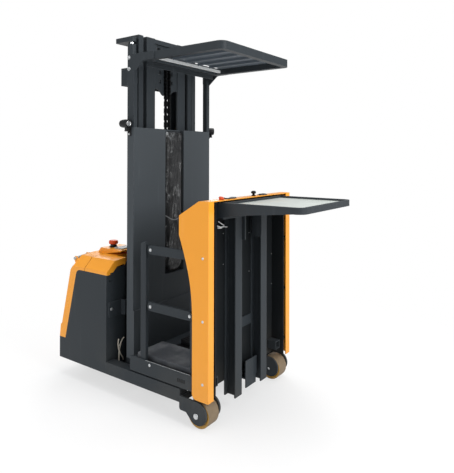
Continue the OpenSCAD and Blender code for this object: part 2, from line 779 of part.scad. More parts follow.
// Work lamps on the upper corners of the rear panel
lamp_x = [-panel_x - 86, -panel_x - 8];
module corner_lamps() color(black) {
    box([-panel_x - 52, -panel_x - 24], [-panel_half_w - 14, -panel_half_w], [panel_top - 40, panel_top + 30]);
    bar_x(-panel_half_w - 30, panel_top + 24, 28, lamp_x[0], lamp_x[1]);
    box([-panel_x - 52, -panel_x - 24], [panel_half_w, panel_half_w + 74], [panel_top - 34, panel_top - 18]);
    bar_x(panel_half_w + 62, panel_top + 8, 28, lamp_x[0], lamp_x[1]);
}

// Gate posts on the platform, with the pivot plates of the gate bars
post_x = [-128, -84];
gate_out_y = side_y - sheet - 1.5;
pin_r = 8;
module gate_posts() color(dark) both() {
    box(post_x, [-gate_out_y, -gate_out_y + 24], [floor_z, 1010]);
    translate([(post_x[0] + post_x[1]) / 2, 0, 1010]) along_y(-gate_out_y, -gate_out_y + 24)
        intersection() {
            circle(r = 22);
            translate([-22, 0]) square([44, 22]);
        }
    plate_y = -gate_out_y + gate_bar_t + 1;
    for (z = [gate_upper_z, gate_lower_z]) {
        box([post_x[1], -gate_x], [plate_y, plate_y + 10], [z - 24, z + 24]);
        bar_y(-gate_x, z, 24, plate_y, plate_y + 10);
        bar_y(-gate_x, z, pin_r, -gate_out_y - 2, plate_y);
    }
}

// Gate bars and the link between them, on the right-hand side
module gate_bar(z) color(dark) difference() {
    along_y(-gate_out_y, -gate_out_y + gate_bar_t) {
        translate([-gate_x, z - gate_bar_h / 2]) square([gate_reach, gate_bar_h]);
        translate([-gate_x, z]) circle(r = gate_bar_h / 2);
        translate([-gate_x + gate_reach, z]) circle(r = 22);
    }
    for (x = [-gate_x, -gate_x + gate_reach])
        bar_y(x, z, pin_r + 0.1, -gate_out_y - 1, -gate_out_y + gate_bar_t + 1);
}

module gate_link() color(dark) {
    x = -gate_x + gate_reach;
    y0 = -gate_out_y + gate_bar_t + 1;
    box([x - 14, x + 14], [y0, y0 + 10], [kerb_top + 10, gate_upper_z + 14]);
    for (z = [gate_upper_z, gate_lower_z]) bar_y(x, z, pin_r, -gate_out_y + 1, y0);
}

module gate_upper_right() gate_bar(gate_upper_z);
module gate_upper_left() mirror([0, 1, 0]) gate_bar(gate_upper_z);
module gate_lower_right() gate_bar(gate_lower_z);
module gate_lower_left() mirror([0, 1, 0]) gate_bar(gate_lower_z);
module gate_link_right() gate_link();
module gate_link_left() mirror([0, 1, 0]) gate_link();

// Front panel of the cabin with its folded side returns and the spacers of the side covers
spacer_x = 379;
spacer_z = [273, 629, 988];
panel_low = cover_z + 7;
panel_lip_z = 1270;
module front_panel() color(darker) {
    box([front_panel_x - 8, front_panel_x], [-front_half_w, front_half_w],
        [panel_low, panel_lip_z]);
    both() {
        box([front_panel_x - 8, cover_front_x - sheet], [-front_half_w - sheet, -front_half_w],
            [panel_low, cover_top - sheet]);
        for (z = spacer_z) bar_y(spacer_x, z, 12, -cover_in_y, -front_half_w - sheet);
    }
}

// Orange side covers: sheet with a front flange and a waisted rear edge
function cover_curve(t) = [for (p = [[desk_rear_x, 1108]]) for (q = [[desk_rear_x + 82, 890]])
    for (r = [[cover_rear_x, 800]]) for (s = [[cover_rear_x, 600]])
    p * pow(1 - t, 3) + 3 * q * t * pow(1 - t, 2) + 3 * r * t * t * (1 - t) + s * pow(t, 3)][0];
cover_slope_x = desk_rear_x + 150;
desk_lip_z = 1222;
module cover_outline() {
    polygon(concat([[cover_front_x, cover_z], [cover_front_x, cover_top],
        [cover_slope_x, cover_top], [desk_rear_x, desk_lip_z]],
        [for (i = [0 : 12]) cover_curve(i / 12)],
        arc(cover_rear_x + 30, cover_z + 30, 30, 180, 270, 6)));
}

module side_covers() color(orange) both() {
    along_y(-cover_half_w, -cover_in_y) cover_outline();
    box([cover_front_x - sheet, cover_front_x], [-cover_in_y, -cover_half_w + cover_flange],
        [cover_z, cover_top]);
}

// Control desk between the side covers
module desk_outline(inset) {
    polygon([[front_panel_x - 8 - inset, 1010 + inset * 2], [desk_rear_x + 4 + inset, 1112 + inset / 2],
        [desk_rear_x + 4 + inset, desk_lip_z - 6 - inset / 2],
        [cover_slope_x - 2, cover_top - sheet - inset], [front_panel_x - 8 + 40, cover_top - sheet - inset],
        [front_panel_x - 8 + 40, panel_lip_z + inset], [front_panel_x - 8 - inset, panel_lip_z + inset]]);
}

module desk_shell() color(dark) difference() {
    along_y(-desk_half_w, desk_half_w) desk_outline(0);
    along_y(-desk_half_w + 5, desk_half_w - 5) desk_outline(5);
    both() box([front_panel_x - 8, 400], [-front_half_w - sheet, -front_half_w], [900, 1400]);
}

// Orange strip over the front of the desk
module desk_top() color(orange) {
    box([cover_slope_x, cover_front_x - sheet], [-cover_in_y, cover_in_y], [cover_top - sheet, cover_top]);
}

// Display, stop button, tiller knob and switch block on the desk
module desk_controls() {
    color("#c8402e") translate([385, -330, cover_top]) cylinder(r = 16, h = 18);
    color(black) box([365, 408], [-285, -195], [cover_top, cover_top + 12]);
    color(black) translate([385, 32, cover_top]) {
        cylinder(r = 12, h = 20);
        translate([0, 0, 26]) sphere(r = 15);
    }
    color(silver) box([370, 405], [100, 165], [cover_top, cover_top + 10]);
}

// Two I rails in front of the panel, with their cross plates
module rail() {
    y0 = -rail_in_y - rail_flange;
    t = 9;
    box([front_panel_x, front_panel_x + t], [y0, -rail_in_y], [rail_z, 1262]);
    box([rail_front_x - t, rail_front_x], [y0, -rail_in_y], [rail_z, 1262]);
    box([front_panel_x + t, rail_front_x - t], [y0 + rail_flange / 2 - 5, y0 + rail_flange / 2 + 5],
        [rail_z, 1262]);
}

module front_rails() color(dark) {
    both() rail();
    box([front_panel_x, front_panel_x + 8], [-rail_in_y, rail_in_y], [459, 523]);
    box([front_panel_x, front_panel_x + 8], [-rail_in_y, rail_in_y], [140, 180]);
    box([rail_front_x - 40, rail_front_x - 32], [-20, rail_in_y], [140, 256]);
    box([rail_front_x - 40, rail_front_x - 32], [-15, 100], [84, 141]);
    box([front_panel_x, rail_front_x - 39], [-20, rail_in_y], [140, 148]);
}

// Open receiver tubes beside the rails
tube_w = 56;
module receiver_tubes() color(dark) both() difference() {
    box([front_panel_x, front_panel_x + 68], [-front_half_w, -front_half_w + tube_w], [222, 278]);
    box([front_panel_x + 3, front_panel_x + 69], [-front_half_w + 4, -front_half_w + tube_w - 4],
        [226, 274]);
}

// Picking tray with deep side plates, and its roller carriage on the rails
tray_plate = 10;
tray_rear_x = rail_front_x + run + tray_plate;
module tray_side() {
    polygon([[rail_front_x - 46, tray_top], [rail_front_x - 46, tray_top - tray_root_h],
        [rail_front_x - 44, tray_top - tray_root_h], [500, tray_top - 72],
        [tray_front_x - 60, tray_top - tray_rim_h], [tray_front_x - 60, tray_top]]);
}

module tray() color(dark) {
    base_z = tray_top - tray_rim_h;
    both() along_y(-tray_half_w, -tray_half_w + sheet) tray_side();
    difference() {
        translate([0, 0, base_z]) linear_extrude(tray_rim_h) difference() {
            intersection() {
                round_rect(0, -tray_half_w, tray_front_x, tray_half_w, 50);
                translate([tray_rear_x, -tray_half_w]) square([600, 2 * tray_half_w]);
            }
        }
        translate([0, 0, base_z + sheet]) linear_extrude(tray_rim_h) difference() {
            intersection() {
                round_rect(0, -tray_half_w + 16, tray_front_x - 16, tray_half_w - 16, 38);
                translate([tray_rear_x + 14, -tray_half_w]) square([600, 2 * tray_half_w]);
            }
        }
    }
    back_z = tray_top - tray_root_h;
    box([rail_front_x + run, tray_rear_x], [-tray_half_w + sheet, tray_half_w - sheet],
        [back_z, tray_top]);

    web_y = -rail_in_y - rail_flange / 2 + 5;
    tray_roller_r = rail_d / 2 - 9 - touch;
    both() for (z = [back_z - 130, back_z - 6]) {
        bar_y(rail_front_x - rail_d / 2, z, tray_roller_r, web_y + 3, web_y + 27);
        bar_y(rail_front_x - rail_d / 2, z, 10, web_y + 27, -rail_in_y + 10);
    }
    both() box([rail_front_x - rail_d / 2 - 14, tray_rear_x], [-rail_in_y + 10, -rail_in_y + 20],
        [back_z - 150, back_z + 20]);
}

module tray_insert() color(silver)
    translate([0, 0, tray_top - tray_rim_h + sheet]) linear_extrude(18) intersection() {
        round_rect(0, -tray_half_w + 16 + touch, tray_front_x - 16 - touch, tray_half_w - 16 - touch, 38);
        translate([tray_rear_x + 14 + touch, -tray_half_w]) square([600, 2 * tray_half_w]);
    }

base_frame();
drive_bridge();
load_forks();
power_shell();
bulkhead();
rear_cover();
hood();
control_console();
console_controls();
rear_handles();
battery();
outer_mast();
mast_crosstie();
chain_anchor();
lift_cylinders();
drive_turret();
drive_wheel();
load_wheel_right();
load_wheel_left();
caster_fork_right();
caster_fork_left();
caster_wheel_right();
caster_wheel_left();
inner_mast();
crosshead();
lift_rods();
mast_rollers();
lift_chains();
platform();
floor_mats();
foot_pedal();
backrest_panel();
backrest_cushion();
carriage();
guard_frame();
guard_roof();
guard_light();
corner_lamps();
gate_posts();
front_panel();
side_covers();
desk_shell();
desk_top();
desk_controls();
front_rails();
receiver_tubes();
tray();
tray_insert();
gate_upper_right();
gate_upper_left();
gate_lower_right();
gate_lower_left();
gate_link_right();
gate_link_left();
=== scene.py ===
# %% [markdown]
# # Dressing an order picker truck
# This lesson takes the finished construction model of an order picker, a warehouse truck whose
# driver rides up with the shelves, and gives it the surfaces, wheels, chains, bolts, lamps and
# controls of the real one. The construction model is loaded as a fixed frame. Each new piece rides
# on one of its bodies, so that mast, cabin, tray and gates can still move.

# %% Load the frame
import json
import math

import bmesh
import bpy
from mathutils import Matrix, Quaternion, Vector


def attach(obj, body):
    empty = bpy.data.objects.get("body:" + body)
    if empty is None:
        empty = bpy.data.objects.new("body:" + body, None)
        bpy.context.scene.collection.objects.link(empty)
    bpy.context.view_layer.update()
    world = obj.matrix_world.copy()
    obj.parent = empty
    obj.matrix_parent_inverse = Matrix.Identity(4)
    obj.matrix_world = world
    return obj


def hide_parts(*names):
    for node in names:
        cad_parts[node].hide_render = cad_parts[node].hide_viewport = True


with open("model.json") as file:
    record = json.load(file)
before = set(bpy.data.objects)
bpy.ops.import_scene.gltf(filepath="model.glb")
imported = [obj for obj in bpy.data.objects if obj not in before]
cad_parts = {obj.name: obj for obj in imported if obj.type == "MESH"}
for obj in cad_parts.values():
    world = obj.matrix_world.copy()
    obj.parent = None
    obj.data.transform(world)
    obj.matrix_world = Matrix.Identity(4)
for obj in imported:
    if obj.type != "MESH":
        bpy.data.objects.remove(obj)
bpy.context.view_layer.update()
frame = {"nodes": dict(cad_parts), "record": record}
nodes = frame["nodes"]
scene = bpy.context.scene

# %% [markdown]
# ## The camera
# The photograph was taken from the front right corner at eye height, 1.57 m above the floor, with
# the camera level. The picture was then cropped low, so the lens is shifted down and not tilted:
# a tilt would make the mast lean.

# %% Place the camera
eye = Vector((2.1561, -2.6895, 1.5737))
gaze = Vector((-0.5866, 0.8098, 0.0071))
camera_data = bpy.data.cameras.new("photo_camera")
camera_data.sensor_fit = "VERTICAL"
camera_data.sensor_height = 36.0
camera_data.lens = 37.97
camera_data.shift_y = -0.178
camera = bpy.data.objects.new("photo_camera", camera_data)
camera.location = eye
camera.rotation_mode = "QUATERNION"
camera.rotation_quaternion = gaze.to_track_quat("-Z", "Y") @ Quaternion((0, 0, 1), math.radians(0.12))
scene.collection.objects.link(camera)
scene.camera = camera
print("camera at", tuple(round(v, 3) for v in eye))

# %% [markdown]
# ## Shader arithmetic
# Node trees are easier to read as formulas. A small class wraps one output socket, so that
# `0.4 + 0.2 * cloud` adds its own Math nodes. A second class holds one material and adds any
# other node from its type, its settings and its inputs.

# %% Wrap sockets and materials
class Wire:
    """One number that a node puts out, which Python's arithmetic extends with Math nodes."""

    def __init__(self, finish, socket):
        self.finish = finish
        self.socket = socket

    def maths(self, operation, *values):
        return self.finish.node("ShaderNodeMath", {"operation": operation}, dict(enumerate(values)))

    def __add__(self, other):
        return self.maths("ADD", self, other)

    __radd__ = __add__

    def __sub__(self, other):
        return self.maths("SUBTRACT", self, other)

    def __rsub__(self, other):
        return self.maths("SUBTRACT", other, self)

    def __mul__(self, other):
        return self.maths("MULTIPLY", self, other)

    __rmul__ = __mul__

    def __pow__(self, other):
        return self.maths("POWER", self, other)

    def most(self, other):
        return self.maths("MAXIMUM", self, other)

    def least(self, other):
        return self.maths("MINIMUM", self, other)

    def size(self):
        return self.maths("ABSOLUTE", self)

    def step(self, low, high):
        """From 0 at low to 1 at high, smoothly."""
        return self.finish.node("ShaderNodeMapRange", {"interpolation_type": "SMOOTHSTEP"},
                                {0: self, 1: low, 2: high})


class Finish:
    """A material, built up from nodes on its own Object coordinates."""

    def __init__(self, name, **fixed):
        self.material = bpy.data.materials.new(name)
        self.material.use_nodes = True
        self.tree = self.material.node_tree
        self.shader = self.tree.nodes["Principled BSDF"]
        self.place = self.node("ShaderNodeTexCoord", out="Object")
        for socket, value in fixed.items():
            self.shader.inputs[socket.replace("_", " ")].default_value = value

    def node(self, kind, settings=None, inputs=None, out=0):
        made = self.tree.nodes.new(kind)
        for key, value in (settings or {}).items():
            setattr(made, key, value)
        for key, value in (inputs or {}).items():
            self.feed(made.inputs[key], value)
        return Wire(self, made.outputs[out])

    def feed(self, socket, value):
        if isinstance(value, Wire):
            self.tree.links.new(value.socket, socket)
        else:
            socket.default_value = value

    def noise(self, scale, detail=2.0, rough=0.5, place=None):
        return self.node("ShaderNodeTexNoise", {},
                         {"Vector": place or self.place, "Scale": scale, "Detail": detail,
                          "Roughness": rough})

    def stretched(self, factors):
        return self.node("ShaderNodeVectorMath", {"operation": "MULTIPLY"},
                         {0: self.place, 1: factors})

    def axis(self, letter):
        return self.node("ShaderNodeSeparateXYZ", {}, {0: self.place}, out=letter)

    def mix(self, amount, first, second):
        return self.node("ShaderNodeMix", {"data_type": "RGBA"}, {0: amount, 6: first, 7: second}, out=2)

    def rounded(self, radius):
        """The surface direction as if each sharp edge were rounded."""
        return self.node("ShaderNodeBevel", {"samples": 4}, {"Radius": radius})

    def edges(self, radius):
        """1 along sharp edges and 0 on the flats."""
        soft = self.rounded(radius)
        true = self.node("ShaderNodeNewGeometry", out="Normal")
        same = self.node("ShaderNodeVectorMath", {"operation": "DOT_PRODUCT"}, {0: soft, 1: true},
                         out="Value")
        return (1.0 - same).step(0.02, 0.22)

    def bump(self, height, strength, distance, normal=None):
        inputs = {"Height": height, "Strength": strength, "Distance": distance}
        if normal is not None:
            inputs["Normal"] = normal
        return self.node("ShaderNodeBump", {}, inputs)

    def ends(self, **links):
        for socket, value in links.items():
            self.feed(self.shader.inputs[socket.replace("_", " ")], value)
        return self.material


def srgb(red, green, blue):
    """A colour written as on a screen, 0 to 255, as the linear numbers that Blender works in."""
    linear = [((v / 255 + 0.055) / 1.055) ** 2.4 if v > 10 else v / 255 / 12.92
              for v in (red, green, blue)]
    return (*linear, 1.0)


def shade(colour, factor):
    """A lighter or darker copy of a linear colour."""
    return (*[min(1.0, factor * v) for v in colour[:3]], 1)


print("a mid grey is", [round(v, 3) for v in srgb(128, 128, 128)])

# %% [markdown]
# ## Painted steel
# Frame, mast and guard are steel with a dark grey powder coat. Up close such a coat has an orange
# peel, and its gloss wanders a little. Along folded and cut edges the colour is painted lighter, a
# painted highlight for the light that such edges catch. The peel is a bump from fine noise. The edge
# highlight comes from comparing the true surface direction with a rounded one, which also softens the
# corners of the plain construction plates.

# %% Powder coat and gloss paint
def painted_steel(name, colour, worn_and_edge_light, rough=0.5, peel=0.10, coat=0.0, shine=0.16):
    paint = Finish(name, Coat_Roughness=0.22, Specular_IOR_Level=shine)
    cloud = paint.noise(1.7, 3.0)
    grain = paint.noise(520.0, 1.0)
    streak = paint.noise(3.0, 4.0, place=paint.stretched((9.0, 9.0, 0.7)))
    edge = paint.edges(0.003)
    low_dust = (1.0 - paint.axis("Z").step(0.05, 0.5)) * cloud.step(0.45, 0.7)
    tone = paint.mix((cloud - 0.5) * 0.5 + 0.5, shade(colour, 0.9), shade(colour, 1.1))
    tone = paint.mix(streak.step(0.58, 0.8) * 0.12, tone, worn_and_edge_light)
    tone = paint.mix(low_dust * 0.1, tone, srgb(150, 140, 125))
    # Painted highlight: sharp edges are mixed toward the light colour to stand in for the light they catch.
    tone = paint.mix(edge * 0.45, tone, worn_and_edge_light)
    gloss = rough + 0.14 * (cloud - 0.5) + 0.1 * (grain - 0.5) + 0.15 * low_dust
    normal = paint.bump(grain, peel, 0.0004, paint.rounded(0.0025))
    film = (coat + 0.1 * (streak - 0.5)).most(0.0)
    return paint.ends(Base_Color=tone, Roughness=gloss, Coat_Weight=film, Normal=normal)


dark_paint = painted_steel("dark_powder_coat", srgb(48, 53, 57), srgb(100, 105, 109))
# Painted light: the rear panel uses a lighter copy of the dark coat, so it looks more brightly lit inside the
# cabin than the lamps make it.
panel_paint_painted_light = painted_steel("rear_panel_coat_painted_light", srgb(66, 71, 75), srgb(112, 117, 121))
# Painted light: the roof uses a lighter copy of the dark coat, so its underside looks more brightly lit than
# the lamps make it.
roof_paint_painted_light = painted_steel("roof_coat_painted_light", srgb(90, 98, 106), srgb(122, 129, 135))
black_paint = painted_steel("black_powder_coat", srgb(24, 27, 29), srgb(62, 65, 67), rough=0.55)
orange_paint = painted_steel("orange_gloss_paint", srgb(238, 156, 40), srgb(250, 190, 104),
                             rough=0.38, peel=0.05, coat=0.3, shine=0.25)
print("painted", dark_paint.name, panel_paint_painted_light.name, black_paint.name, orange_paint.name)

# %% [markdown]
# ## Bare metal
# Bolts and brackets are zinc plated: bright, with a fine brushed line and faint stains. The lift
# rods are hard chrome, nearly a mirror with an oil film, and the drive unit is a rough casting.

# %% Zinc, chrome and casting
def bare_metal(name, colour, rough, line, stain):
    metal = Finish(name, Metallic=1.0)
    brushed = metal.noise(60.0, 3.0, place=metal.stretched((1.0, 1.0, 14.0)))
    spots = metal.noise(38.0, 4.0)
    tone = metal.mix(spots.step(0.5, 0.75) * stain, colour, shade(colour, 0.55))
    gloss = rough + line * (brushed - 0.5) + 0.2 * stain * spots
    normal = metal.bump(brushed, 0.08, 0.0002, metal.rounded(0.0006))
    return metal.ends(Base_Color=tone, Roughness=gloss, Normal=normal)


zinc = bare_metal("zinc_plate", srgb(205, 207, 208), 0.30, 0.18, 0.35)
chrome = bare_metal("hard_chrome", srgb(226, 228, 230), 0.10, 0.05, 0.12)
chain_steel = bare_metal("oiled_chain_steel", srgb(34, 35, 36), 0.45, 0.12, 0.6)
# Bright steel serves the lamp rings and, as a painted highlight, the left chain's clips.
bright_steel_and_glint = bare_metal("bright_ring_and_glint_steel", srgb(232, 233, 234), 0.22, 0.10, 0.2)

casting = Finish("rough_casting")
pits = casting.noise(90.0, 5.0, 0.65)
casting_look = casting.ends(
    Base_Color=casting.mix(pits, srgb(38, 40, 42), srgb(62, 64, 66)),
    Roughness=0.55 + 0.25 * pits,
    Normal=casting.bump(pits, 0.35, 0.002, casting.rounded(0.003)))
print("metals", zinc.name, chrome.name, casting_look.name)

# %% [markdown]
# ## Plastics and rubber
# Moulded plastic has a leather-like grain from its tool. The floor mats are ribbed rubber with
# worn, dusty high spots. The tyres are cast polyurethane: clear amber where the side is clean and
# dull brown on the tread, which has rolled over a concrete floor.

# %% Plastic and rubber
def moulded_plastic(name, colour, rough, grain_scale=900.0, depth=0.15):
    plastic = Finish(name, Specular_IOR_Level=0.25)
    grain = plastic.node("ShaderNodeTexVoronoi", {"feature": "SMOOTH_F1"},
                         {"Vector": plastic.place, "Scale": grain_scale})
    cloud = plastic.noise(6.0, 2.0)
    tone = plastic.mix(cloud, shade(colour, 0.88), colour)
    return plastic.ends(Base_Color=tone, Roughness=rough + 0.12 * (cloud - 0.5) + 0.08 * grain,
                        Normal=plastic.bump(grain, depth, 0.0003, plastic.rounded(0.001)))


black_plastic = moulded_plastic("black_plastic", srgb(17, 18, 20), 0.42)
dark_plastic = moulded_plastic("dark_desk_plastic", srgb(60, 64, 68), 0.5)
grey_plastic = moulded_plastic("grey_plastic", srgb(168, 172, 170), 0.4)
white_cover = moulded_plastic("white_light_cover", srgb(238, 240, 240), 0.3, 300.0, 0.03)
loom_plastic = moulded_plastic("pale_cable_jacket", srgb(206, 198, 184), 0.45, 300.0, 0.03)
red_plastic = moulded_plastic("red_button_plastic", srgb(206, 76, 28), 0.3, 300.0, 0.03)

mat_rubber = Finish("mat_rubber")
dust = mat_rubber.noise(7.0, 5.0, 0.6)
pebble = mat_rubber.node("ShaderNodeTexVoronoi", {}, {"Vector": mat_rubber.place, "Scale": 210.0})
crumbs = mat_rubber.noise(160.0, 3.0).step(0.6, 0.75)
mat_rubber_look = mat_rubber.ends(
    Base_Color=mat_rubber.mix(0.5 * dust.step(0.35, 0.7) + 0.25 * crumbs, srgb(70, 73, 78),
                              srgb(128, 130, 132)),
    Roughness=0.72 + 0.2 * dust,
    Normal=mat_rubber.bump(1.0 - pebble, 0.5, 0.0012))
print("plastics", black_plastic.name, mat_rubber_look.name)

# %% [markdown]
# ## The tyre finish
# One material covers the whole tyre. The distance from the wheel's centre says whether a point is
# on the side, where the amber urethane shows, or on the tread, which is scuffed brown.

# %% Polyurethane tyre
def tyre_finish(name, centre_x, centre_z, radius, mid_y, half_width):
    tyre = Finish(name)
    x = tyre.axis("X") - centre_x
    z = tyre.axis("Z") - centre_z
    out = (x * x + z * z) ** 0.5
    across = (tyre.axis("Y") - mid_y).size()
    on_tread = out.step(radius - 0.0045, radius - 0.0015)
    scuffed = on_tread * (1.0 - across.step(half_width - 0.005, half_width))
    cloud = tyre.noise(26.0, 4.0)
    fine = tyre.noise(240.0, 3.0)
    amber = tyre.mix(cloud, srgb(150, 108, 28), srgb(184, 138, 44))
    tread = tyre.mix(0.6 * cloud + 0.4 * fine, srgb(100, 86, 66), srgb(142, 122, 96))
    return tyre.ends(Base_Color=tyre.mix(scuffed, amber, tread),
                     Roughness=0.34 + 0.36 * scuffed + 0.1 * (fine - 0.5),
                     Normal=tyre.bump(fine, 0.2, 0.0005))


print("tyre finish ready")

# %% [markdown]
# ## The backrest's skin
# The slim cushion is black vinyl and still in its clear wrapping. The film is what the eye sees: a
# glossy coat over creases that run mostly up and down. Stretched, bent noise makes the creases.

# %% Wrapped vinyl
vinyl = Finish("wrapped_black_vinyl", Coat_Roughness=0.12, Specular_IOR_Level=0.25)
bend = vinyl.noise(7.0, 2.0)
long_folds = vinyl.noise(1.0, 5.0, 0.62, place=vinyl.node(
    "ShaderNodeVectorMath", {"operation": "ADD"},
    {0: vinyl.stretched((30.0, 34.0, 8.0)),
     1: vinyl.node("ShaderNodeCombineXYZ", {}, {0: 1.5 * bend, 1: 3.5 * bend, 2: 1.0 * bend})}))
ridge = 1.0 - ((long_folds - 0.5) * 9.0).size().least(1.0)
leather = vinyl.node("ShaderNodeTexVoronoi", {}, {"Vector": vinyl.place, "Scale": 480.0})
glint = (ridge ** 5.0) * vinyl.noise(13.0, 2.0).step(0.5, 0.66)
corner = vinyl.axis("Z").step(1.66, 1.74) * (1.0 - vinyl.axis("Y").step(-0.05, 0.02))
gather = (vinyl.axis("Z") - 1.115 - 5.0 * (vinyl.axis("Y") * vinyl.axis("Y"))) * 160.0
hem = 1.0 - gather.size().least(1.0)
film = (corner * vinyl.noise(30.0, 3.0).step(0.42, 0.6)).most(hem * 0.7)
skin_tone = vinyl.mix(ridge * 0.2, srgb(15, 16, 18), srgb(44, 46, 48))
skin_tone = vinyl.mix(0.5 * glint, skin_tone, srgb(180, 182, 182))
vinyl_look = vinyl.ends(
    Base_Color=vinyl.mix(film * 0.7, skin_tone, srgb(170, 173, 175)),
    Roughness=0.36 + 0.2 * (long_folds - 0.5),
    Coat_Weight=0.05 + 0.3 * ridge,
    Normal=vinyl.bump(0.8 * ridge + 0.2 * leather, 0.55, 0.004))

lens_glass = Finish("lamp_lens", Roughness=0.08, Specular_IOR_Level=0.8)
facets = lens_glass.node("ShaderNodeTexVoronoi", {}, {"Vector": lens_glass.place, "Scale": 150.0})
lens_look = lens_glass.ends(Base_Color=lens_glass.mix(facets, srgb(60, 62, 64), srgb(150, 152, 154)),
                            Coat_Weight=0.7 + 0.2 * facets,
                            Normal=lens_glass.bump(facets, 0.4, 0.001))
screen_glass = Finish("display_glass", Coat_Roughness=0.06)
smear = screen_glass.noise(40.0, 4.0)
screen_look = screen_glass.ends(Base_Color=screen_glass.mix(smear, srgb(44, 48, 50), srgb(66, 70, 72)),
                                Roughness=0.18 + 0.15 * smear, Coat_Weight=0.4 + 0.4 * smear)
print("vinyl", vinyl_look.name)

# %% [markdown]
# ## Finishes for the construction nodes
# Most construction pieces already have the right shape and only need their finish. The packed
# record says which slot each node belongs to, and a short table turns slots into materials.

# %% The tray's pale inlay
inlay = Finish("pale_tray_inlay", Metallic=0.35, Coat_Roughness=0.12)
swirl = inlay.noise(4.0, 3.0, place=inlay.stretched((1.0, 5.0, 1.0)))
scratch = inlay.noise(30.0, 4.0, place=inlay.stretched((1.0, 20.0, 1.0))).step(0.62, 0.8)
inlay_look = inlay.ends(Base_Color=inlay.mix(swirl, srgb(176, 182, 176), srgb(206, 211, 206)),
                        Roughness=0.42 + 0.14 * swirl + 0.2 * scratch,
                        Coat_Weight=0.15 + 0.1 * (swirl - 0.5),
                        Normal=inlay.bump(scratch, 0.08, 0.0003, inlay.rounded(0.0015)))

# %% Dress the nodes
slot_finish = {
    "dark_paint": dark_paint, "black_paint": black_paint, "orange_paint": orange_paint, "steel": zinc,
    "rod_chrome": chrome,
    "cast_housing": casting_look, "black_plastic": black_plastic, "dark_plastic": dark_plastic,
    "grey_plastic": grey_plastic, "red_plastic": red_plastic, "mat_rubber": mat_rubber_look,
    "cushion_vinyl": vinyl_look, "tread": black_plastic,
}
own_finish = {"tray_insert": inlay_look, "guard_light": white_cover, "backrest_panel": panel_paint_painted_light,
              "guard_roof": roof_paint_painted_light}
for part in frame["record"]["subparts"]:
    skin = nodes[part["node"]].data
    skin.materials.clear()
    skin.materials.append(own_finish.get(part["node"], slot_finish[part["material_slot"]]))

# %% [markdown]
# ## Tools for new pieces
# Every new piece starts as a bmesh: an outline that is spun, a block whose edges are bevelled, or
# a bolt. A last helper turns the bmesh into an object, sets which edges stay sharp, and says which
# body it rides on.

# %% Helpers
AXES = {"X": Vector((1, 0, 0)), "Y": Vector((0, 1, 0)), "Z": Vector((0, 0, 1))}
ORIGIN = (0, 0, 0)


def lathe(outline, at, axis="Y", steps=48, closed=True):
    """Spins (radius, along) points round an axis through a place."""
    bm = bmesh.new()
    along = AXES[axis]
    out = AXES["X"] if axis == "Z" else AXES["Z"]
    rim = [bm.verts.new(Vector(at) + out * radius + along * shift) for radius, shift in outline]
    ring = list(zip(rim, rim[1:])) + ([(rim[-1], rim[0])] if closed else [])
    edges = [bm.edges.new(pair) for pair in ring]
    bmesh.ops.spin(bm, geom=rim + edges, cent=at, axis=along, angle=2 * math.pi, steps=steps,
                   use_merge=True)
    bmesh.ops.remove_doubles(bm, verts=bm.verts, dist=1e-6)
    bmesh.ops.dissolve_degenerate(bm, dist=1e-7, edges=bm.edges)
    bmesh.ops.recalc_face_normals(bm, faces=bm.faces)
    return bm


def block(low, high, bevel=0.0, segments=2):
    """A box between two corners with rounded edges."""
    bm = bmesh.new()
    low, high = Vector(low), Vector(high)
    size = high - low
    bmesh.ops.create_cube(bm, size=1.0, matrix=Matrix.Translation((low + high) / 2)
                          @ Matrix.Diagonal((*size, 1)))
    if bevel:
        bmesh.ops.bevel(bm, geom=bm.edges[:], offset=bevel, segments=segments, affect="EDGES",
                        profile=0.5, material=-1)
    return bm


def merge(*parts):
    """Several bmeshes as one."""
    whole = bmesh.new()
    for part in parts:
        carrier = bpy.data.meshes.new("carrier")
        part.to_mesh(carrier)
        whole.from_mesh(carrier)
        bpy.data.meshes.remove(carrier)
        part.free()
    return whole


def facing(at, axis):
    """The matrix that stands a piece made along Z on a surface at a place."""
    turn = AXES["Z"].rotation_difference(Vector(axis))
    return Matrix.Translation(at) @ turn.to_matrix().to_4x4()


def hex_bolt(at, axis, head=0.0085, height=0.0055, washer=0.0115):
    """A hexagon head on a washer."""
    bm = bmesh.new()
    place = facing(at, axis)
    bmesh.ops.create_cone(bm, cap_ends=True, segments=24, radius1=washer, radius2=washer * 0.95,
                          depth=0.002, matrix=place @ Matrix.Translation((0, 0, 0.0009)))
    cap = bmesh.ops.create_cone(bm, cap_ends=True, segments=6, radius1=head, radius2=head,
                                depth=height,
                                matrix=place @ Matrix.Translation((0, 0, 0.0018 + height / 2)))
    bmesh.ops.bevel(bm, geom=list({e for v in cap["verts"] for e in v.link_edges}), offset=0.0008,
                    segments=1, affect="EDGES", profile=0.5, material=-1)
    return bm


def dome_screw(at, axis, head=0.007, height=0.004):
    """A low round head with a socket."""
    bm = lathe([(0, -0.0004), (head, -0.0004), (head * 0.96, height * 0.35), (head * 0.7, height * 0.85),
                (head * 0.42, height), (head * 0.36, height * 0.45), (0, height * 0.45)],
               ORIGIN, "Z", 16, closed=False)
    bmesh.ops.transform(bm, matrix=facing(at, axis), verts=bm.verts)
    return bm


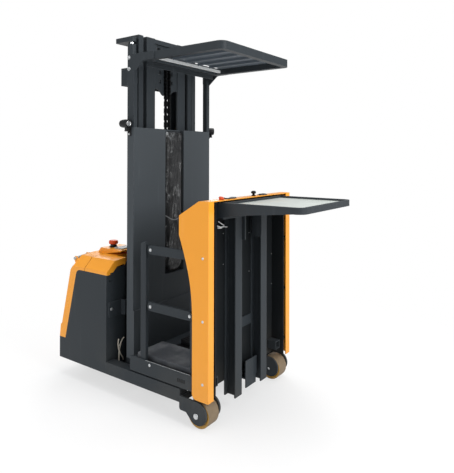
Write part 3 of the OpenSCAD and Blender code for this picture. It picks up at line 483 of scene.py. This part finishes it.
def tube(path, thick, closed=False):
    """A round bead along a path of points."""
    bm = bmesh.new()
    rings = []
    for i, here in enumerate(path):
        ahead = path[(i + 1) % len(path)] if closed or i + 1 < len(path) else here
        behind = path[i - 1] if closed or i else here
        ring = bmesh.ops.create_circle(bm, segments=8, radius=thick, cap_ends=False,
                                       matrix=facing(here, (ahead - behind).normalized()))["verts"]
        rings.append({e for v in ring for e in v.link_edges})
    for first, second in zip(rings, rings[1:] + (rings[:1] if closed else [])):
        bmesh.ops.bridge_loops(bm, edges=list(first | second))
    if not closed:
        bmesh.ops.holes_fill(bm, edges=list(rings[0] | rings[-1]))
    bmesh.ops.recalc_face_normals(bm, faces=bm.faces)
    return bm


def piece(name, bm, finish, body, replaces=(), smooth=32):
    """Makes the object, rides it on its body and hides the nodes that it stands for."""
    mesh = bpy.data.meshes.new(name)
    bm.to_mesh(mesh)
    bm.free()
    mesh.materials.append(finish)
    mesh.shade_smooth()
    mesh.set_sharp_from_angle(angle=math.radians(smooth))
    made = bpy.data.objects.new(name, mesh)
    scene.collection.objects.link(made)
    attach(made, body)
    if replaces:
        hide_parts(*replaces)
    return made


print("helpers ready")

# %% [markdown]
# ## Load wheels
# Each leg ends in a polyurethane load wheel between two fork plates. A real one is an iron hub with
# a cast tyre, so the tyre and the hub are two outlines spun round the axle. The axle is a bolt
# whose hexagon head shows on the outer fork plate.

# %% Spin the load wheels
LOAD_X, LOAD_R, LOAD_OUT, LOAD_W = 0.331, 0.079, 0.449, 0.099
FORK_Y = 0.4704
for side, sign in (("right", -1), ("left", 1)):
    mid_y = sign * (LOAD_OUT - LOAD_W / 2)
    half = LOAD_W / 2
    at = (LOAD_X, mid_y, LOAD_R)
    tyre = lathe([(0.0595, -half + 0.004), (0.066, -half), (LOAD_R - 0.007, -half),
                  (LOAD_R - 0.002, -half + 0.002), (LOAD_R, -half + 0.007), (LOAD_R, half - 0.007),
                  (LOAD_R - 0.002, half - 0.002), (LOAD_R - 0.007, half), (0.066, half),
                  (0.0595, half - 0.004)], at, "Y", 72)
    look = tyre_finish("load_tyre_" + side, LOAD_X, LOAD_R, LOAD_R, mid_y, half)
    piece("load_tyre_" + side, tyre, look, "load_axle_" + side, ["load_wheel_" + side])
    hub = lathe([(0.010, -half - 0.004), (0.021, -half - 0.004), (0.0225, -half - 0.002),
                 (0.024, -half + 0.004), (0.046, -half + 0.009), (0.052, -half + 0.005),
                 (0.0594, -half + 0.005), (0.0594, half - 0.005), (0.052, half - 0.005),
                 (0.046, half - 0.009), (0.024, half - 0.004), (0.0225, half + 0.002),
                 (0.021, half + 0.004), (0.010, half + 0.004)], at, "Y", 48)
    piece("load_hub_" + side, hub, casting_look, "load_axle_" + side)
    pin = half + 0.014
    axle = merge(lathe([(0, -pin), (0.0099, -pin), (0.0099, pin), (0, pin)], at, "Y", 24, closed=False),
                 hex_bolt((LOAD_X, sign * FORK_Y, LOAD_R), (0, sign, 0), 0.0125, 0.0016, 0.0165))
    piece("load_axle_bolt_" + side, axle, zinc, "load_axle_" + side)
print("load wheels", LOAD_R * 2, "m across")

# %% [markdown]
# ## Drive wheel and casters
# Under the power unit one driven wheel steers and pulls, and two small casters keep the truck from
# tipping. They are rarely seen, but they are spun in the same way, from simpler outlines.

# %% Spin the drive wheel and the casters
DRIVE_X, DRIVE_R, DRIVE_HALF = -0.8, 0.115, 0.038
drive_at = (DRIVE_X, 0, DRIVE_R)
drive_tyre = lathe([(0.093, -DRIVE_HALF), (0.109, -DRIVE_HALF), (DRIVE_R, -0.032), (DRIVE_R, 0.032),
                    (0.109, DRIVE_HALF), (0.093, DRIVE_HALF)], drive_at, "Y", 72)
drive_look = tyre_finish("drive_tyre", DRIVE_X, DRIVE_R, DRIVE_R, 0.0, DRIVE_HALF)
piece("drive_tyre", drive_tyre, drive_look, "drive", ["drive_wheel"])
drive_hub = lathe([(0, -0.0447), (0.024, -0.0447), (0.024, -0.03), (0.06, -0.026), (0.08, -0.03),
                   (0.093, -0.034), (0.093, 0.034), (0.08, 0.03), (0.06, 0.026), (0.024, 0.03),
                   (0.024, 0.0447), (0, 0.0447)], drive_at, "Y", 48, closed=False)
piece("drive_hub", drive_hub, casting_look, "drive")
CASTER_X, CASTER_Y, CASTER_R, CASTER_HALF = -0.626, 0.206, 0.045, 0.016
for side, sign in (("right", -1), ("left", 1)):
    at = (CASTER_X, sign * CASTER_Y, CASTER_R)
    roll = lathe([(0, -0.0197), (0.008, -0.0197), (0.008, -CASTER_HALF), (0.03, -0.014),
                  (0.034, -CASTER_HALF), (0.041, -CASTER_HALF), (CASTER_R, -0.012), (CASTER_R, 0.012),
                  (0.041, CASTER_HALF), (0.034, CASTER_HALF), (0.03, 0.014), (0.008, CASTER_HALF),
                  (0.008, 0.0197), (0, 0.0197)], at, "Y", 48, closed=False)
    look = tyre_finish("caster_tyre_" + side, CASTER_X, CASTER_R, CASTER_R, sign * CASTER_Y, CASTER_HALF)
    piece("caster_tyre_" + side, roll, look, "caster_roll_body_" + side, ["caster_wheel_" + side])
print("drive wheel and casters spun")

# %% [markdown]
# ## The backrest
# Behind the driver's back a long slim pad fills the recess of the rear panel. It is foam in a sewn
# skin, so its front crowns and its long sides pull in between the corners. The block is remeshed
# and blown up a little by the cloth simulation, which gives an uneven, believable crown.

# %% Inflate the pad
PAD_LOW, PAD_HIGH = Vector((-0.2945, -0.0900, 0.745)), Vector((-0.2600, 0.0900, 1.750))
RECESS_X, RECESS_HALF = -0.2957, 0.0935


def pad_path(x, inset=0.0, top=0.022, bottom=0.075):
    """The pad's outline in a plane across X: small corners at the top, large ones at the bottom."""
    low_y, high_y = PAD_LOW.y + inset, PAD_HIGH.y - inset
    low_z, high_z = PAD_LOW.z + inset, PAD_HIGH.z - inset
    corners = [(high_y - top, high_z - top, top, 0), (low_y + top, high_z - top, top, 90),
               (low_y + bottom, low_z + bottom, bottom, 180),
               (high_y - bottom, low_z + bottom, bottom, 270)]
    return [Vector((x, cy + radius * math.cos(math.radians(start + turn)),
                    cz + radius * math.sin(math.radians(start + turn))))
            for cy, cz, radius, start in corners for turn in (0, 22.5, 45, 67.5, 90)]


def inflate(pad, frames=20, pressure=3.6, cap=0.007):
    """Runs a short cloth simulation and keeps its result as plain mesh."""
    rest = [v.co.copy() for v in pad.data.vertices]
    cloth = pad.modifiers.new("cloth", "CLOTH")
    cloth.settings.use_pressure = True
    cloth.settings.uniform_pressure_force = pressure
    cloth.settings.effector_weights.gravity = 0.0
    cloth.settings.tension_stiffness = 25.0
    cloth.settings.bending_stiffness = 3.0
    cloth.point_cache.frame_start = 1
    cloth.point_cache.frame_end = frames
    for step in range(1, frames + 1):
        scene.frame_set(step)
    swollen = pad.evaluated_get(bpy.context.evaluated_depsgraph_get()).to_mesh()
    moved = [v.co.copy() for v in swollen.vertices]
    pad.modifiers.remove(cloth)
    scene.frame_set(1)
    for vertex, start, end in zip(pad.data.vertices, rest, moved):
        shift = end - start
        if shift.length > cap:
            shift = shift * (cap / shift.length)
        vertex.co = start + shift


pad_bm = bmesh.new()
back = pad_bm.faces.new([pad_bm.verts.new(point) for point in pad_path(PAD_LOW.x)])
grown = bmesh.ops.extrude_face_region(pad_bm, geom=[back], use_keep_orig=True)
front = [v for v in grown["geom"] if isinstance(v, bmesh.types.BMVert)]
bmesh.ops.translate(pad_bm, vec=(PAD_HIGH.x - PAD_LOW.x, 0, 0), verts=front)
bmesh.ops.recalc_face_normals(pad_bm, faces=pad_bm.faces)
rim = {e for v in front for e in v.link_edges if e.other_vert(v) in front}
bmesh.ops.bevel(pad_bm, geom=list(rim), offset=0.013, segments=4, affect="EDGES", profile=0.5,
                material=-1)
pad_mesh = bpy.data.meshes.new("backrest_pad")
pad_bm.to_mesh(pad_mesh)
pad_bm.free()
pad = bpy.data.objects.new("backrest_pad", pad_mesh)
scene.collection.objects.link(pad)
remesh = pad.modifiers.new("remesh", "REMESH")
remesh.mode = "VOXEL"
remesh.voxel_size = 0.006
solid = bpy.data.meshes.new_from_object(pad.evaluated_get(bpy.context.evaluated_depsgraph_get()))
pad.modifiers.clear()
pad.data = solid
inflate(pad)
for vertex in pad.data.vertices:
    vertex.co.x = max(vertex.co.x, RECESS_X)
    vertex.co.y = max(-RECESS_HALF, min(RECESS_HALF, vertex.co.y))
pad.data.materials.clear()
pad.data.materials.append(vinyl_look)
pad.data.shade_smooth()
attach(pad, "cabin")
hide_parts("backrest_cushion")
print("pad has", len(pad.data.vertices), "points")

# %% [markdown]
# ## The piping of the pad
# The pad's front panel is sewn to its sides, and the welt shows as a thin cord just behind the
# front edge. A round bead follows the pad's own outline there.

# %% Welt round the pad
piece("backrest_welt", tube(pad_path(-0.266, 0.001), 0.0022, closed=True), black_plastic, "cabin",
      smooth=80)
print("welt sewn")

# %% [markdown]
# ## Leaf chains
# Two chains pass over the wheels at the top of the inner mast and lift the cabin. A chain is packs
# of flat plates on pins. One short pack is made and then set along the path of the chain: up the
# short rear fall, half round the wheel, and down the long front fall.

# %% Lay the chains
PITCH, CHAIN_END, CHAIN_LOW = 0.0254, 2.152, 0.422
WHEEL_X, WHEEL_Z, WHEEL_R = -0.372, 2.290, 0.0403


def chain_path(distance):
    """The place and the direction of the chain after a distance from the end of its rear fall."""
    fall = WHEEL_Z - CHAIN_END
    arc = math.pi * WHEEL_R
    if distance < fall:
        return Vector((WHEEL_X - WHEEL_R, 0, CHAIN_END + distance)), Vector((0, 0, 1))
    if distance < fall + arc:
        turn = math.pi - (distance - fall) / WHEEL_R
        return (Vector((WHEEL_X + WHEEL_R * math.cos(turn), 0, WHEEL_Z + WHEEL_R * math.sin(turn))),
                Vector((math.sin(turn), 0, -math.cos(turn))))
    return Vector((WHEEL_X + WHEEL_R, 0, WHEEL_Z - (distance - fall - arc))), Vector((0, 0, -1))


def chain_pack(number):
    """One pitch of plates on its pin, standing along Z."""
    bm = bmesh.new()
    for y in (-0.0115, -0.0039, 0.0039, 0.0115) if number % 2 else (-0.0077, 0.0, 0.0077):
        plate = bmesh.ops.create_cube(bm, size=1.0, matrix=Matrix.Translation((0, y, 0))
                                      @ Matrix.Diagonal((0.0114, 0.0034, PITCH * 1.5, 1)))["verts"]
        ends = [e for v in plate for e in v.link_edges if abs(e.verts[0].co.y - e.verts[1].co.y) > 0.001]
        bmesh.ops.bevel(bm, geom=list(set(ends)), offset=0.0042, segments=2, affect="EDGES", profile=0.5,
                        material=-1)
    return bm


chain_length = (WHEEL_Z - CHAIN_END) + math.pi * WHEEL_R + (WHEEL_Z - CHAIN_LOW)
count = int((chain_length - 0.5 * PITCH) / PITCH)
for side, chain_y in (("right", -0.017), ("left", 0.019)):
    plates = bmesh.new()
    pins = bmesh.new()
    clips = bmesh.new()
    packs = []
    for number in (0, 1):
        carrier = bpy.data.meshes.new("pack")
        pack = chain_pack(number)
        pack.to_mesh(carrier)
        pack.free()
        packs.append(carrier)
    for i in range(count):
        spot, ahead = chain_path(PITCH * (i + 0.76))
        turn = AXES["Z"].rotation_difference(ahead).to_matrix().to_4x4()
        place = Matrix.Translation(spot + Vector((0, chain_y, 0))) @ turn
        before = len(plates.verts)
        plates.from_mesh(packs[i % 2])
        plates.verts.ensure_lookup_table()
        bmesh.ops.transform(plates, matrix=place, verts=plates.verts[before:])
        pin_place = place @ Matrix.Translation((0, 0, PITCH / 2)) @ Matrix.Rotation(math.pi / 2, 4, "X")
        bmesh.ops.create_cone(pins, cap_ends=True, segments=10, radius1=0.0048, radius2=0.0048,
                              depth=0.0300, matrix=pin_place)
        clip_place = place @ Matrix.Translation((0.0060, -0.0115, PITCH / 2))
        bmesh.ops.create_cube(clips, size=1.0,
                              matrix=clip_place @ Matrix.Diagonal((0.0012, 0.0060, 0.0120, 1)))
    for carrier in packs:
        bpy.data.meshes.remove(carrier)
    piece("chain_plates_" + side, plates, chain_steel, "inner_mast_stage",
          ["lift_chains"] if side == "right" else ())
    piece("chain_pins_" + side, pins, chain_steel, "inner_mast_stage", smooth=50)
    # Painted highlight: the left chain's clips are bright steel and the right chain's are dark, so the bright
    # dots stand in for glints between the two chains.
    piece("chain_clips_" + side, clips, bright_steel_and_glint if side == "left" else chain_steel,
          "inner_mast_stage")
print("chains", round(chain_length, 3), "m long,", count, "pitches each")

# %% [markdown]
# ## Work lamps
# A small round lamp stands at each upper corner of the rear panel. Its housing is a bowl that is
# spun from an outline, with a bright ring and a faceted lens in front, on a bent bracket.

# %% Spin the lamps
LAMP_X, LAMP_Z, PANEL_Y = -0.296, 1.784, 0.4021
for side, at, turn in (("right", Vector((LAMP_X, -0.432, LAMP_Z)), 0.0),
                       ("left", Vector((LAMP_X, 0.466, LAMP_Z - 0.016)), 0.9)):
    aim = Matrix.Translation(at) @ Matrix.Rotation(turn, 4, "Z")
    back = 0.050 if not turn else 0.030
    bowl = lathe([(0, -back), (0.014, 0.001 - back), (0.023, 0.008 - back), (0.0265, 0.020 - back),
                  (0.028, 0.0), (0.0275, 0.024), (0.0245, 0.027), (0.0178, 0.0245), (0.0170, 0.020),
                  (0, 0.018)], ORIGIN, "X", 40, closed=False)
    ring = lathe([(0.0142, 0.020), (0.0175, 0.0215), (0.0180, 0.0255), (0.0165, 0.0270),
                  (0.0148, 0.0260)], ORIGIN, "X", 40)
    lens = lathe([(0, 0.0245), (0.008, 0.0238), (0.0146, 0.0215), (0.0146, 0.019), (0, 0.019)],
                 ORIGIN, "X", 40, closed=False)
    for shape in (bowl, ring, lens):
        bmesh.ops.transform(shape, matrix=aim, verts=shape.verts)
    sign = 1 if at.y > 0 else -1
    wall = sign * PANEL_Y
    face = wall + sign * 0.005
    near_y, far_y = sorted((wall, at.y + sign * 0.006))
    foot = block(at + Vector((-0.008, -0.006, -0.044)), at + Vector((0.014, 0.006, -0.024)), 0.0015, 2)
    arm = block((at.x - 0.010, near_y, at.z - 0.050), (at.x + 0.016, far_y, at.z - 0.043), 0.0015, 2)
    plate = block((at.x - 0.014, min(wall, face), LAMP_Z - 0.080),
                  (at.x + 0.020, max(wall, face), LAMP_Z - 0.020), 0.001, 1)
    piece("lamp_housing_" + side, merge(bowl, foot, arm, plate), black_plastic, "cabin",
          ["corner_lamps"] if side == "right" else ())
    piece("lamp_ring_" + side, ring, bright_steel_and_glint, "cabin")
    piece("lamp_lens_" + side, lens, lens_look, "cabin")
    nuts = merge(hex_bolt((at.x + 0.003, face, LAMP_Z - 0.068), (0, sign, 0), 0.006, 0.005, 0.008),
                 hex_bolt((at.x - 0.003, at.y, at.z - 0.050), (0, 0, -1), 0.006, 0.007, 0.008))
    piece("lamp_nuts_" + side, nuts, zinc, "cabin")
print("lamps at", LAMP_Z, "m")

# %% [markdown]
# ## The power unit's console
# On the orange wedge sits the red stop button, a mushroom on a black collar, and next to it the
# grey charge display. The mushroom's crown is spun from its outline.

# %% Stop button and display
STOP_AT = (-0.652, -0.222, 0.908)
collar = lathe([(0, -0.0003), (0.029, -0.0003), (0.030, 0.004), (0.024, 0.007), (0.021, 0.022),
                (0, 0.022)], STOP_AT, "Z", 40, closed=False)
piece("stop_collar", collar, black_plastic, "chassis")
mushroom = lathe([(0, 0.0215), (0.020, 0.0215), (0.031, 0.024), (0.033, 0.029), (0.033, 0.041),
                  (0.030, 0.047), (0.024, 0.0495), (0.012, 0.0510), (0, 0.0513)], STOP_AT, "Z", 48,
                 closed=False)
piece("stop_mushroom", mushroom, red_plastic, "chassis", ["console_controls"])
bezel = block((-0.600, -0.262, 0.9077), (-0.520, -0.142, 0.9165), 0.003, 3)
inner = [f for f in bezel.faces if f.normal.z > 0.99 and f.calc_area() > 0.001]
bmesh.ops.inset_individual(bezel, faces=inner, thickness=0.008, depth=-0.002)
piece("display_bezel", bezel, grey_plastic, "chassis")
screen = block((-0.5915, -0.2535, 0.912), (-0.5285, -0.1505, 0.9152), 0.0006, 1)
piece("display_screen", screen, screen_look, "chassis")
print("console dressed")

# %% [markdown]
# ## The driver's desk
# The desk carries what a thumb reaches: a red button, a small display, the travel lever with its
# black knob, and a pair of switches. Each is small in the picture, but each breaks the long orange
# strip, so each is shaped.

# %% Desk controls
DESK_Z = 1.3130
LEVER_AT = (0.386, 0.050, DESK_Z)
button = lathe([(0, -0.004), (0.013, -0.004), (0.013, 0.006), (0.0165, 0.008), (0.0165, 0.014),
                (0.013, 0.0175), (0, 0.0185)], ORIGIN, "Z", 32, closed=False)
button_place = Matrix.Translation((0.398, -0.322, DESK_Z)) @ Matrix.Rotation(0.35, 4, "Y")
bmesh.ops.transform(button, matrix=button_place, verts=button.verts)
piece("desk_button", button, red_plastic, "cabin", ["desk_controls"])
display = block((0.370, -0.258, DESK_Z - 0.0003), (0.408, -0.172, DESK_Z + 0.009), 0.003, 3)
piece("desk_display", display, screen_look, "cabin")
boot = lathe([(0, 0.0), (0.016, 0.0), (0.0155, 0.002), (0.011, 0.004), (0.012, 0.006), (0.008, 0.008),
              (0.0085, 0.010), (0.005, 0.012), (0.004, 0.020), (0, 0.020)], LEVER_AT, "Z", 32,
             closed=False)
knob = lathe([(0, 0.012), (0.008, 0.0125), (0.0155, 0.018), (0.017, 0.024), (0.0145, 0.030),
              (0.008, 0.0335), (0, 0.0340)], LEVER_AT, "Z", 32, closed=False)
piece("travel_lever", merge(boot, knob), black_plastic, "cabin")
switches = merge(block((0.370, 0.120, DESK_Z - 0.0003), (0.406, 0.188, DESK_Z + 0.005), 0.0015, 2),
                 block((0.376, 0.128, DESK_Z + 0.0045), (0.400, 0.150, DESK_Z + 0.009), 0.002, 2),
                 block((0.376, 0.158, DESK_Z + 0.0045), (0.400, 0.180, DESK_Z + 0.009), 0.002, 2))
piece("desk_switches", switches, dark_plastic, "cabin")
print("desk dressed")

# %% [markdown]
# ## Mats and pedal
# The driver stands on thick mats on both sides of a pedal that has to stay pressed. The mats'
# corners are rounded, their tops are sunk a little inside a rim, and the pedal carries four ribs. A
# thin bright zinc strip along the upper edge of each kerb is a painted highlight for the light that
# the kerb's lip catches.

# %% Mats and pedal
FLOOR_Z = 0.272
KERB_GLINT_IN, KERB_GLINT_OUT = 0.4666, 0.4704
for side, sign in (("right", -1), ("left", 1)):
    ys = sorted((sign * 0.411, sign * 0.172))
    mat = block((-0.208, ys[0], FLOOR_Z), (0.277, ys[1], FLOOR_Z + 0.036), 0.009, 3)
    top = [f for f in mat.faces if f.normal.z > 0.99 and f.calc_area() > 0.01]
    bmesh.ops.inset_individual(mat, faces=top, thickness=0.012, depth=-0.002)
    piece("floor_mat_" + side, mat, mat_rubber_look, "cabin",
          ["floor_mats"] if side == "right" else ())
pedal = block((-0.100, -0.110, FLOOR_Z + 0.0135), (0.070, 0.110, FLOOR_Z + 0.040), 0.006, 3)
for vertex in pedal.verts:
    if vertex.co.z > FLOOR_Z + 0.03:
        vertex.co.z += 0.012 * max(0.0, min(1.0, (0.03 - vertex.co.x) / 0.12))
ribs = []
for i in range(4):
    rib_x = -0.088 + 0.018 * i
    ribs.append(block((rib_x, -0.098, FLOOR_Z + 0.037), (rib_x + 0.008, 0.098, FLOOR_Z + 0.0535 - 0.0012 * i),
                      0.002, 1))
base = block((-0.120, -0.130, FLOOR_Z), (0.090, 0.130, FLOOR_Z + 0.014), 0.003, 2)
piece("foot_pedal_pad", merge(pedal, base, *ribs), black_plastic, "cabin", ["foot_pedal"])
# Painted highlight: a thin bright strip on each kerb's top edge stands in for the light caught there.
kerb_glints = [block((-0.075, low_y, 0.3027), (0.284, high_y, 0.3043), 0.0004, 1)
         for low_y, high_y in ((-KERB_GLINT_OUT, -KERB_GLINT_IN), (KERB_GLINT_IN, KERB_GLINT_OUT))]
piece("kerb_glint_strips", merge(*kerb_glints), zinc, "cabin")
print("mats and pedal laid")

# %% [markdown]
# ## Bolts, pins and studs
# Bright fasteners are what give the dark steel its scale. They are gathered into one mesh for each
# body, so that the bolts of a gate swing with the gate.

# %% Fasteners of the chassis and the mast
chassis_bolts = [hex_bolt((-0.438, sign * 0.425, 0.544), (1, 0, 0), 0.009, 0.006, 0.012)
                 for sign in (-1, 1)]
piece("chassis_bolts", merge(*chassis_bolts), zinc, "chassis")
print("chassis bolts", len(chassis_bolts))

# %% Fasteners of the cabin
COVER_Y, POST_Y, GATE_X, LINK_X = 0.4706, 0.4614, -0.042, 0.274
PIVOT_HEIGHTS = (0.989, 0.638)
cabin_bolts = []
for sign in (-1, 1):
    for z in (0.273, 0.629, 0.988):
        cabin_bolts.append(dome_screw((0.379, sign * COVER_Y, z), (0, sign, 0), 0.0085, 0.0035))
    for z in (2.222, 2.147):
        cabin_bolts.append(hex_bolt((-0.303, sign * 0.402, z), (0, sign, 0), 0.009, 0.006, 0.0135))
    for z in PIVOT_HEIGHTS:
        cabin_bolts.append(hex_bolt((GATE_X, sign * POST_Y, z), (0, sign, 0), 0.0085, 0.002, 0.0105))
    cabin_bolts.append(dome_screw((GATE_X, sign * 0.467, 0.279), (0, sign, 0), 0.0095, 0.003))
    for z in (0.976, 0.760, 0.612):
        cabin_bolts.append(dome_screw((0.355, sign * 0.4632, z), (0, -sign, 0), 0.0085, 0.0035))
for y, heights in ((-0.192, (1.092, 0.901)), (0.099, (1.061, 0.805)), (0.389, (0.876, 0.663))):
    cabin_bolts += [dome_screw((0.320, y, z), (1, 0, 0), 0.003, 0.0016) for z in heights]
piece("cabin_bolts", merge(*cabin_bolts), zinc, "cabin", smooth=40)
for side, sign in (("right", -1), ("left", 1)):
    heads = [hex_bolt((LINK_X, sign * 0.4594, z), (0, sign, 0), 0.0075, 0.0025, 0.010)
             for z in PIVOT_HEIGHTS]
    piece("gate_link_bolts_" + side, merge(*heads), zinc, "gate_drop_" + side)
print("cabin bolts", len(cabin_bolts))

# %% [markdown]
# ## Cables and catches
# Beside the mast a pale harness shows in front of the power unit's wall, and under the tray a white
# loom hangs from the front panel. Both are tubes along short paths. A black ribbed catch sits on the
# platform's side.

# %% Harness, loom and catch
def cable_set(paths, thick):
    """Short tubes through lists of points, as one bmesh."""
    return merge(*[tube([Vector(point) for point in path], thick) for path in paths])


harness = [((-0.430, -0.368, 0.330), (-0.427, -0.377, 0.300), (-0.426, -0.372, 0.262),
            (-0.427, -0.352, 0.222), (-0.429, -0.332, 0.192), (-0.430, -0.326, 0.176)),
           ((-0.430, -0.348, 0.292), (-0.426, -0.362, 0.270), (-0.425, -0.369, 0.240),
            (-0.426, -0.369, 0.200), (-0.427, -0.368, 0.176)),
           ((-0.430, -0.322, 0.326), (-0.426, -0.338, 0.322), (-0.425, -0.352, 0.303),
            (-0.426, -0.366, 0.283))]
piece("bay_harness", cable_set(harness, 0.0042), loom_plastic, "chassis", smooth=80)
loom = [((0.3215, -0.246, 1.172), (0.330, -0.232, 1.160), (0.334, -0.205, 1.146), (0.3225, -0.192, 1.134)),
        ((0.3215, -0.258, 1.146), (0.332, -0.236, 1.138), (0.334, -0.205, 1.137), (0.332, -0.170, 1.131),
         (0.3215, -0.150, 1.130)),
        ((0.3215, -0.254, 1.134), (0.333, -0.232, 1.131), (0.3215, -0.206, 1.133))]
piece("front_loom", cable_set(loom, 0.0034), white_cover, "cabin", smooth=80)
catch = []
for i in range(4):
    tooth_x = 0.186 + 0.016 * i
    catch.append(block((tooth_x, -0.4690, 0.240), (tooth_x + 0.010, -0.4635, 0.262), 0.0015, 1))
catch.append(block((0.182, -0.4665, 0.236), (0.252, -0.4630, 0.266), 0.001, 1))
piece("platform_catch", merge(*catch), black_plastic, "cabin")
print("cables laid")

# %% [markdown]
# ## The stage
# The truck stands on a pale floor that runs out to a white background. The floor keeps the soft
# shadow near the wheels. Further out it turns into plain white by a mask on the distance from the
# truck, for the camera and for reflections only, so it puts no extra light on the truck.

# %% Floor, world and lamps
floor_finish = Finish("pale_floor", Roughness=0.9)
distance = floor_finish.node("ShaderNodeVectorMath", {"operation": "LENGTH"}, {0: floor_finish.place},
                             out="Value")
ray = floor_finish.tree.nodes.new("ShaderNodeLightPath")
camera_ray, glossy_ray, clear_ray = [Wire(floor_finish, ray.outputs["Is " + kind + " Ray"])
                                     for kind in ("Camera", "Glossy", "Transmission")]
seen = camera_ray.most(glossy_ray).most(clear_ray)
white = floor_finish.node("ShaderNodeEmission", {}, {"Color": (1, 1, 1, 1), "Strength": 1.0})
floor_finish.shader.inputs["Base Color"].default_value = (0.86, 0.86, 0.86, 1)
blend = floor_finish.node("ShaderNodeMixShader", {}, {0: seen * (0.62 + 0.38 * distance.step(1.0, 2.6))})
floor_finish.tree.links.new(floor_finish.shader.outputs[0], blend.socket.node.inputs[1])
floor_finish.tree.links.new(white.socket, blend.socket.node.inputs[2])
floor_finish.tree.links.new(blend.socket, floor_finish.tree.nodes["Material Output"].inputs["Surface"])

ground = bmesh.new()
bmesh.ops.create_grid(ground, x_segments=4, y_segments=4, size=60.0,
                      matrix=Matrix.Translation((0, 0, -0.0005)))
ground_mesh = bpy.data.meshes.new("floor")
ground.to_mesh(ground_mesh)
ground.free()
ground_mesh.materials.append(floor_finish.material)
floor = bpy.data.objects.new("floor", ground_mesh)
scene.collection.objects.link(floor)

world = bpy.data.worlds.new("studio")
scene.world = world
world.use_nodes = True
sky = world.node_tree
backdrop = sky.nodes["Background"]
backdrop.inputs["Color"].default_value = (1, 1, 1, 1)
backdrop.inputs["Strength"].default_value = 1.0
room = sky.nodes.new("ShaderNodeBackground")
room.inputs["Color"].default_value = (0.96, 0.98, 1.0, 1)
room.inputs["Strength"].default_value = 0.5
rays = sky.nodes.new("ShaderNodeLightPath")
either = sky.nodes.new("ShaderNodeMath")
either.operation = "MAXIMUM"
sky.links.new(rays.outputs["Is Camera Ray"], either.inputs[0])
sky.links.new(rays.outputs["Is Transmission Ray"], either.inputs[1])
chosen = sky.nodes.new("ShaderNodeMixShader")
sky.links.new(either.outputs[0], chosen.inputs[0])
sky.links.new(room.outputs[0], chosen.inputs[1])
sky.links.new(backdrop.outputs[0], chosen.inputs[2])
sky.links.new(chosen.outputs[0], sky.nodes["World Output"].inputs["Surface"])


def softbox(name, at, towards, size, power):
    """A square lamp that faces a point."""
    data = bpy.data.lights.new(name, "AREA")
    data.shape = "RECTANGLE"
    data.size, data.size_y = size
    data.energy = power
    lamp = bpy.data.objects.new(name, data)
    lamp.location = at
    lamp.rotation_euler = (Vector(towards) - Vector(at)).to_track_quat("-Z", "Y").to_euler()
    scene.collection.objects.link(lamp)


softbox("key_front", (4.8, -0.4, 3.0), (0.1, 0, 1.1), (2.6, 2.6), 178)
softbox("fill_side", (-1.2, -4.8, 2.6), (-0.2, 0, 1.1), (3.0, 2.4), 62)
softbox("top_soft", (0.2, 0.3, 5.4), (0, 0, 1.0), (3.2, 3.2), 190)
softbox("back_rim", (-3.6, 3.4, 3.2), (0, 0, 1.2), (2.4, 2.4), 60)
scene.view_settings.view_transform = "Standard"
print("stage lit")
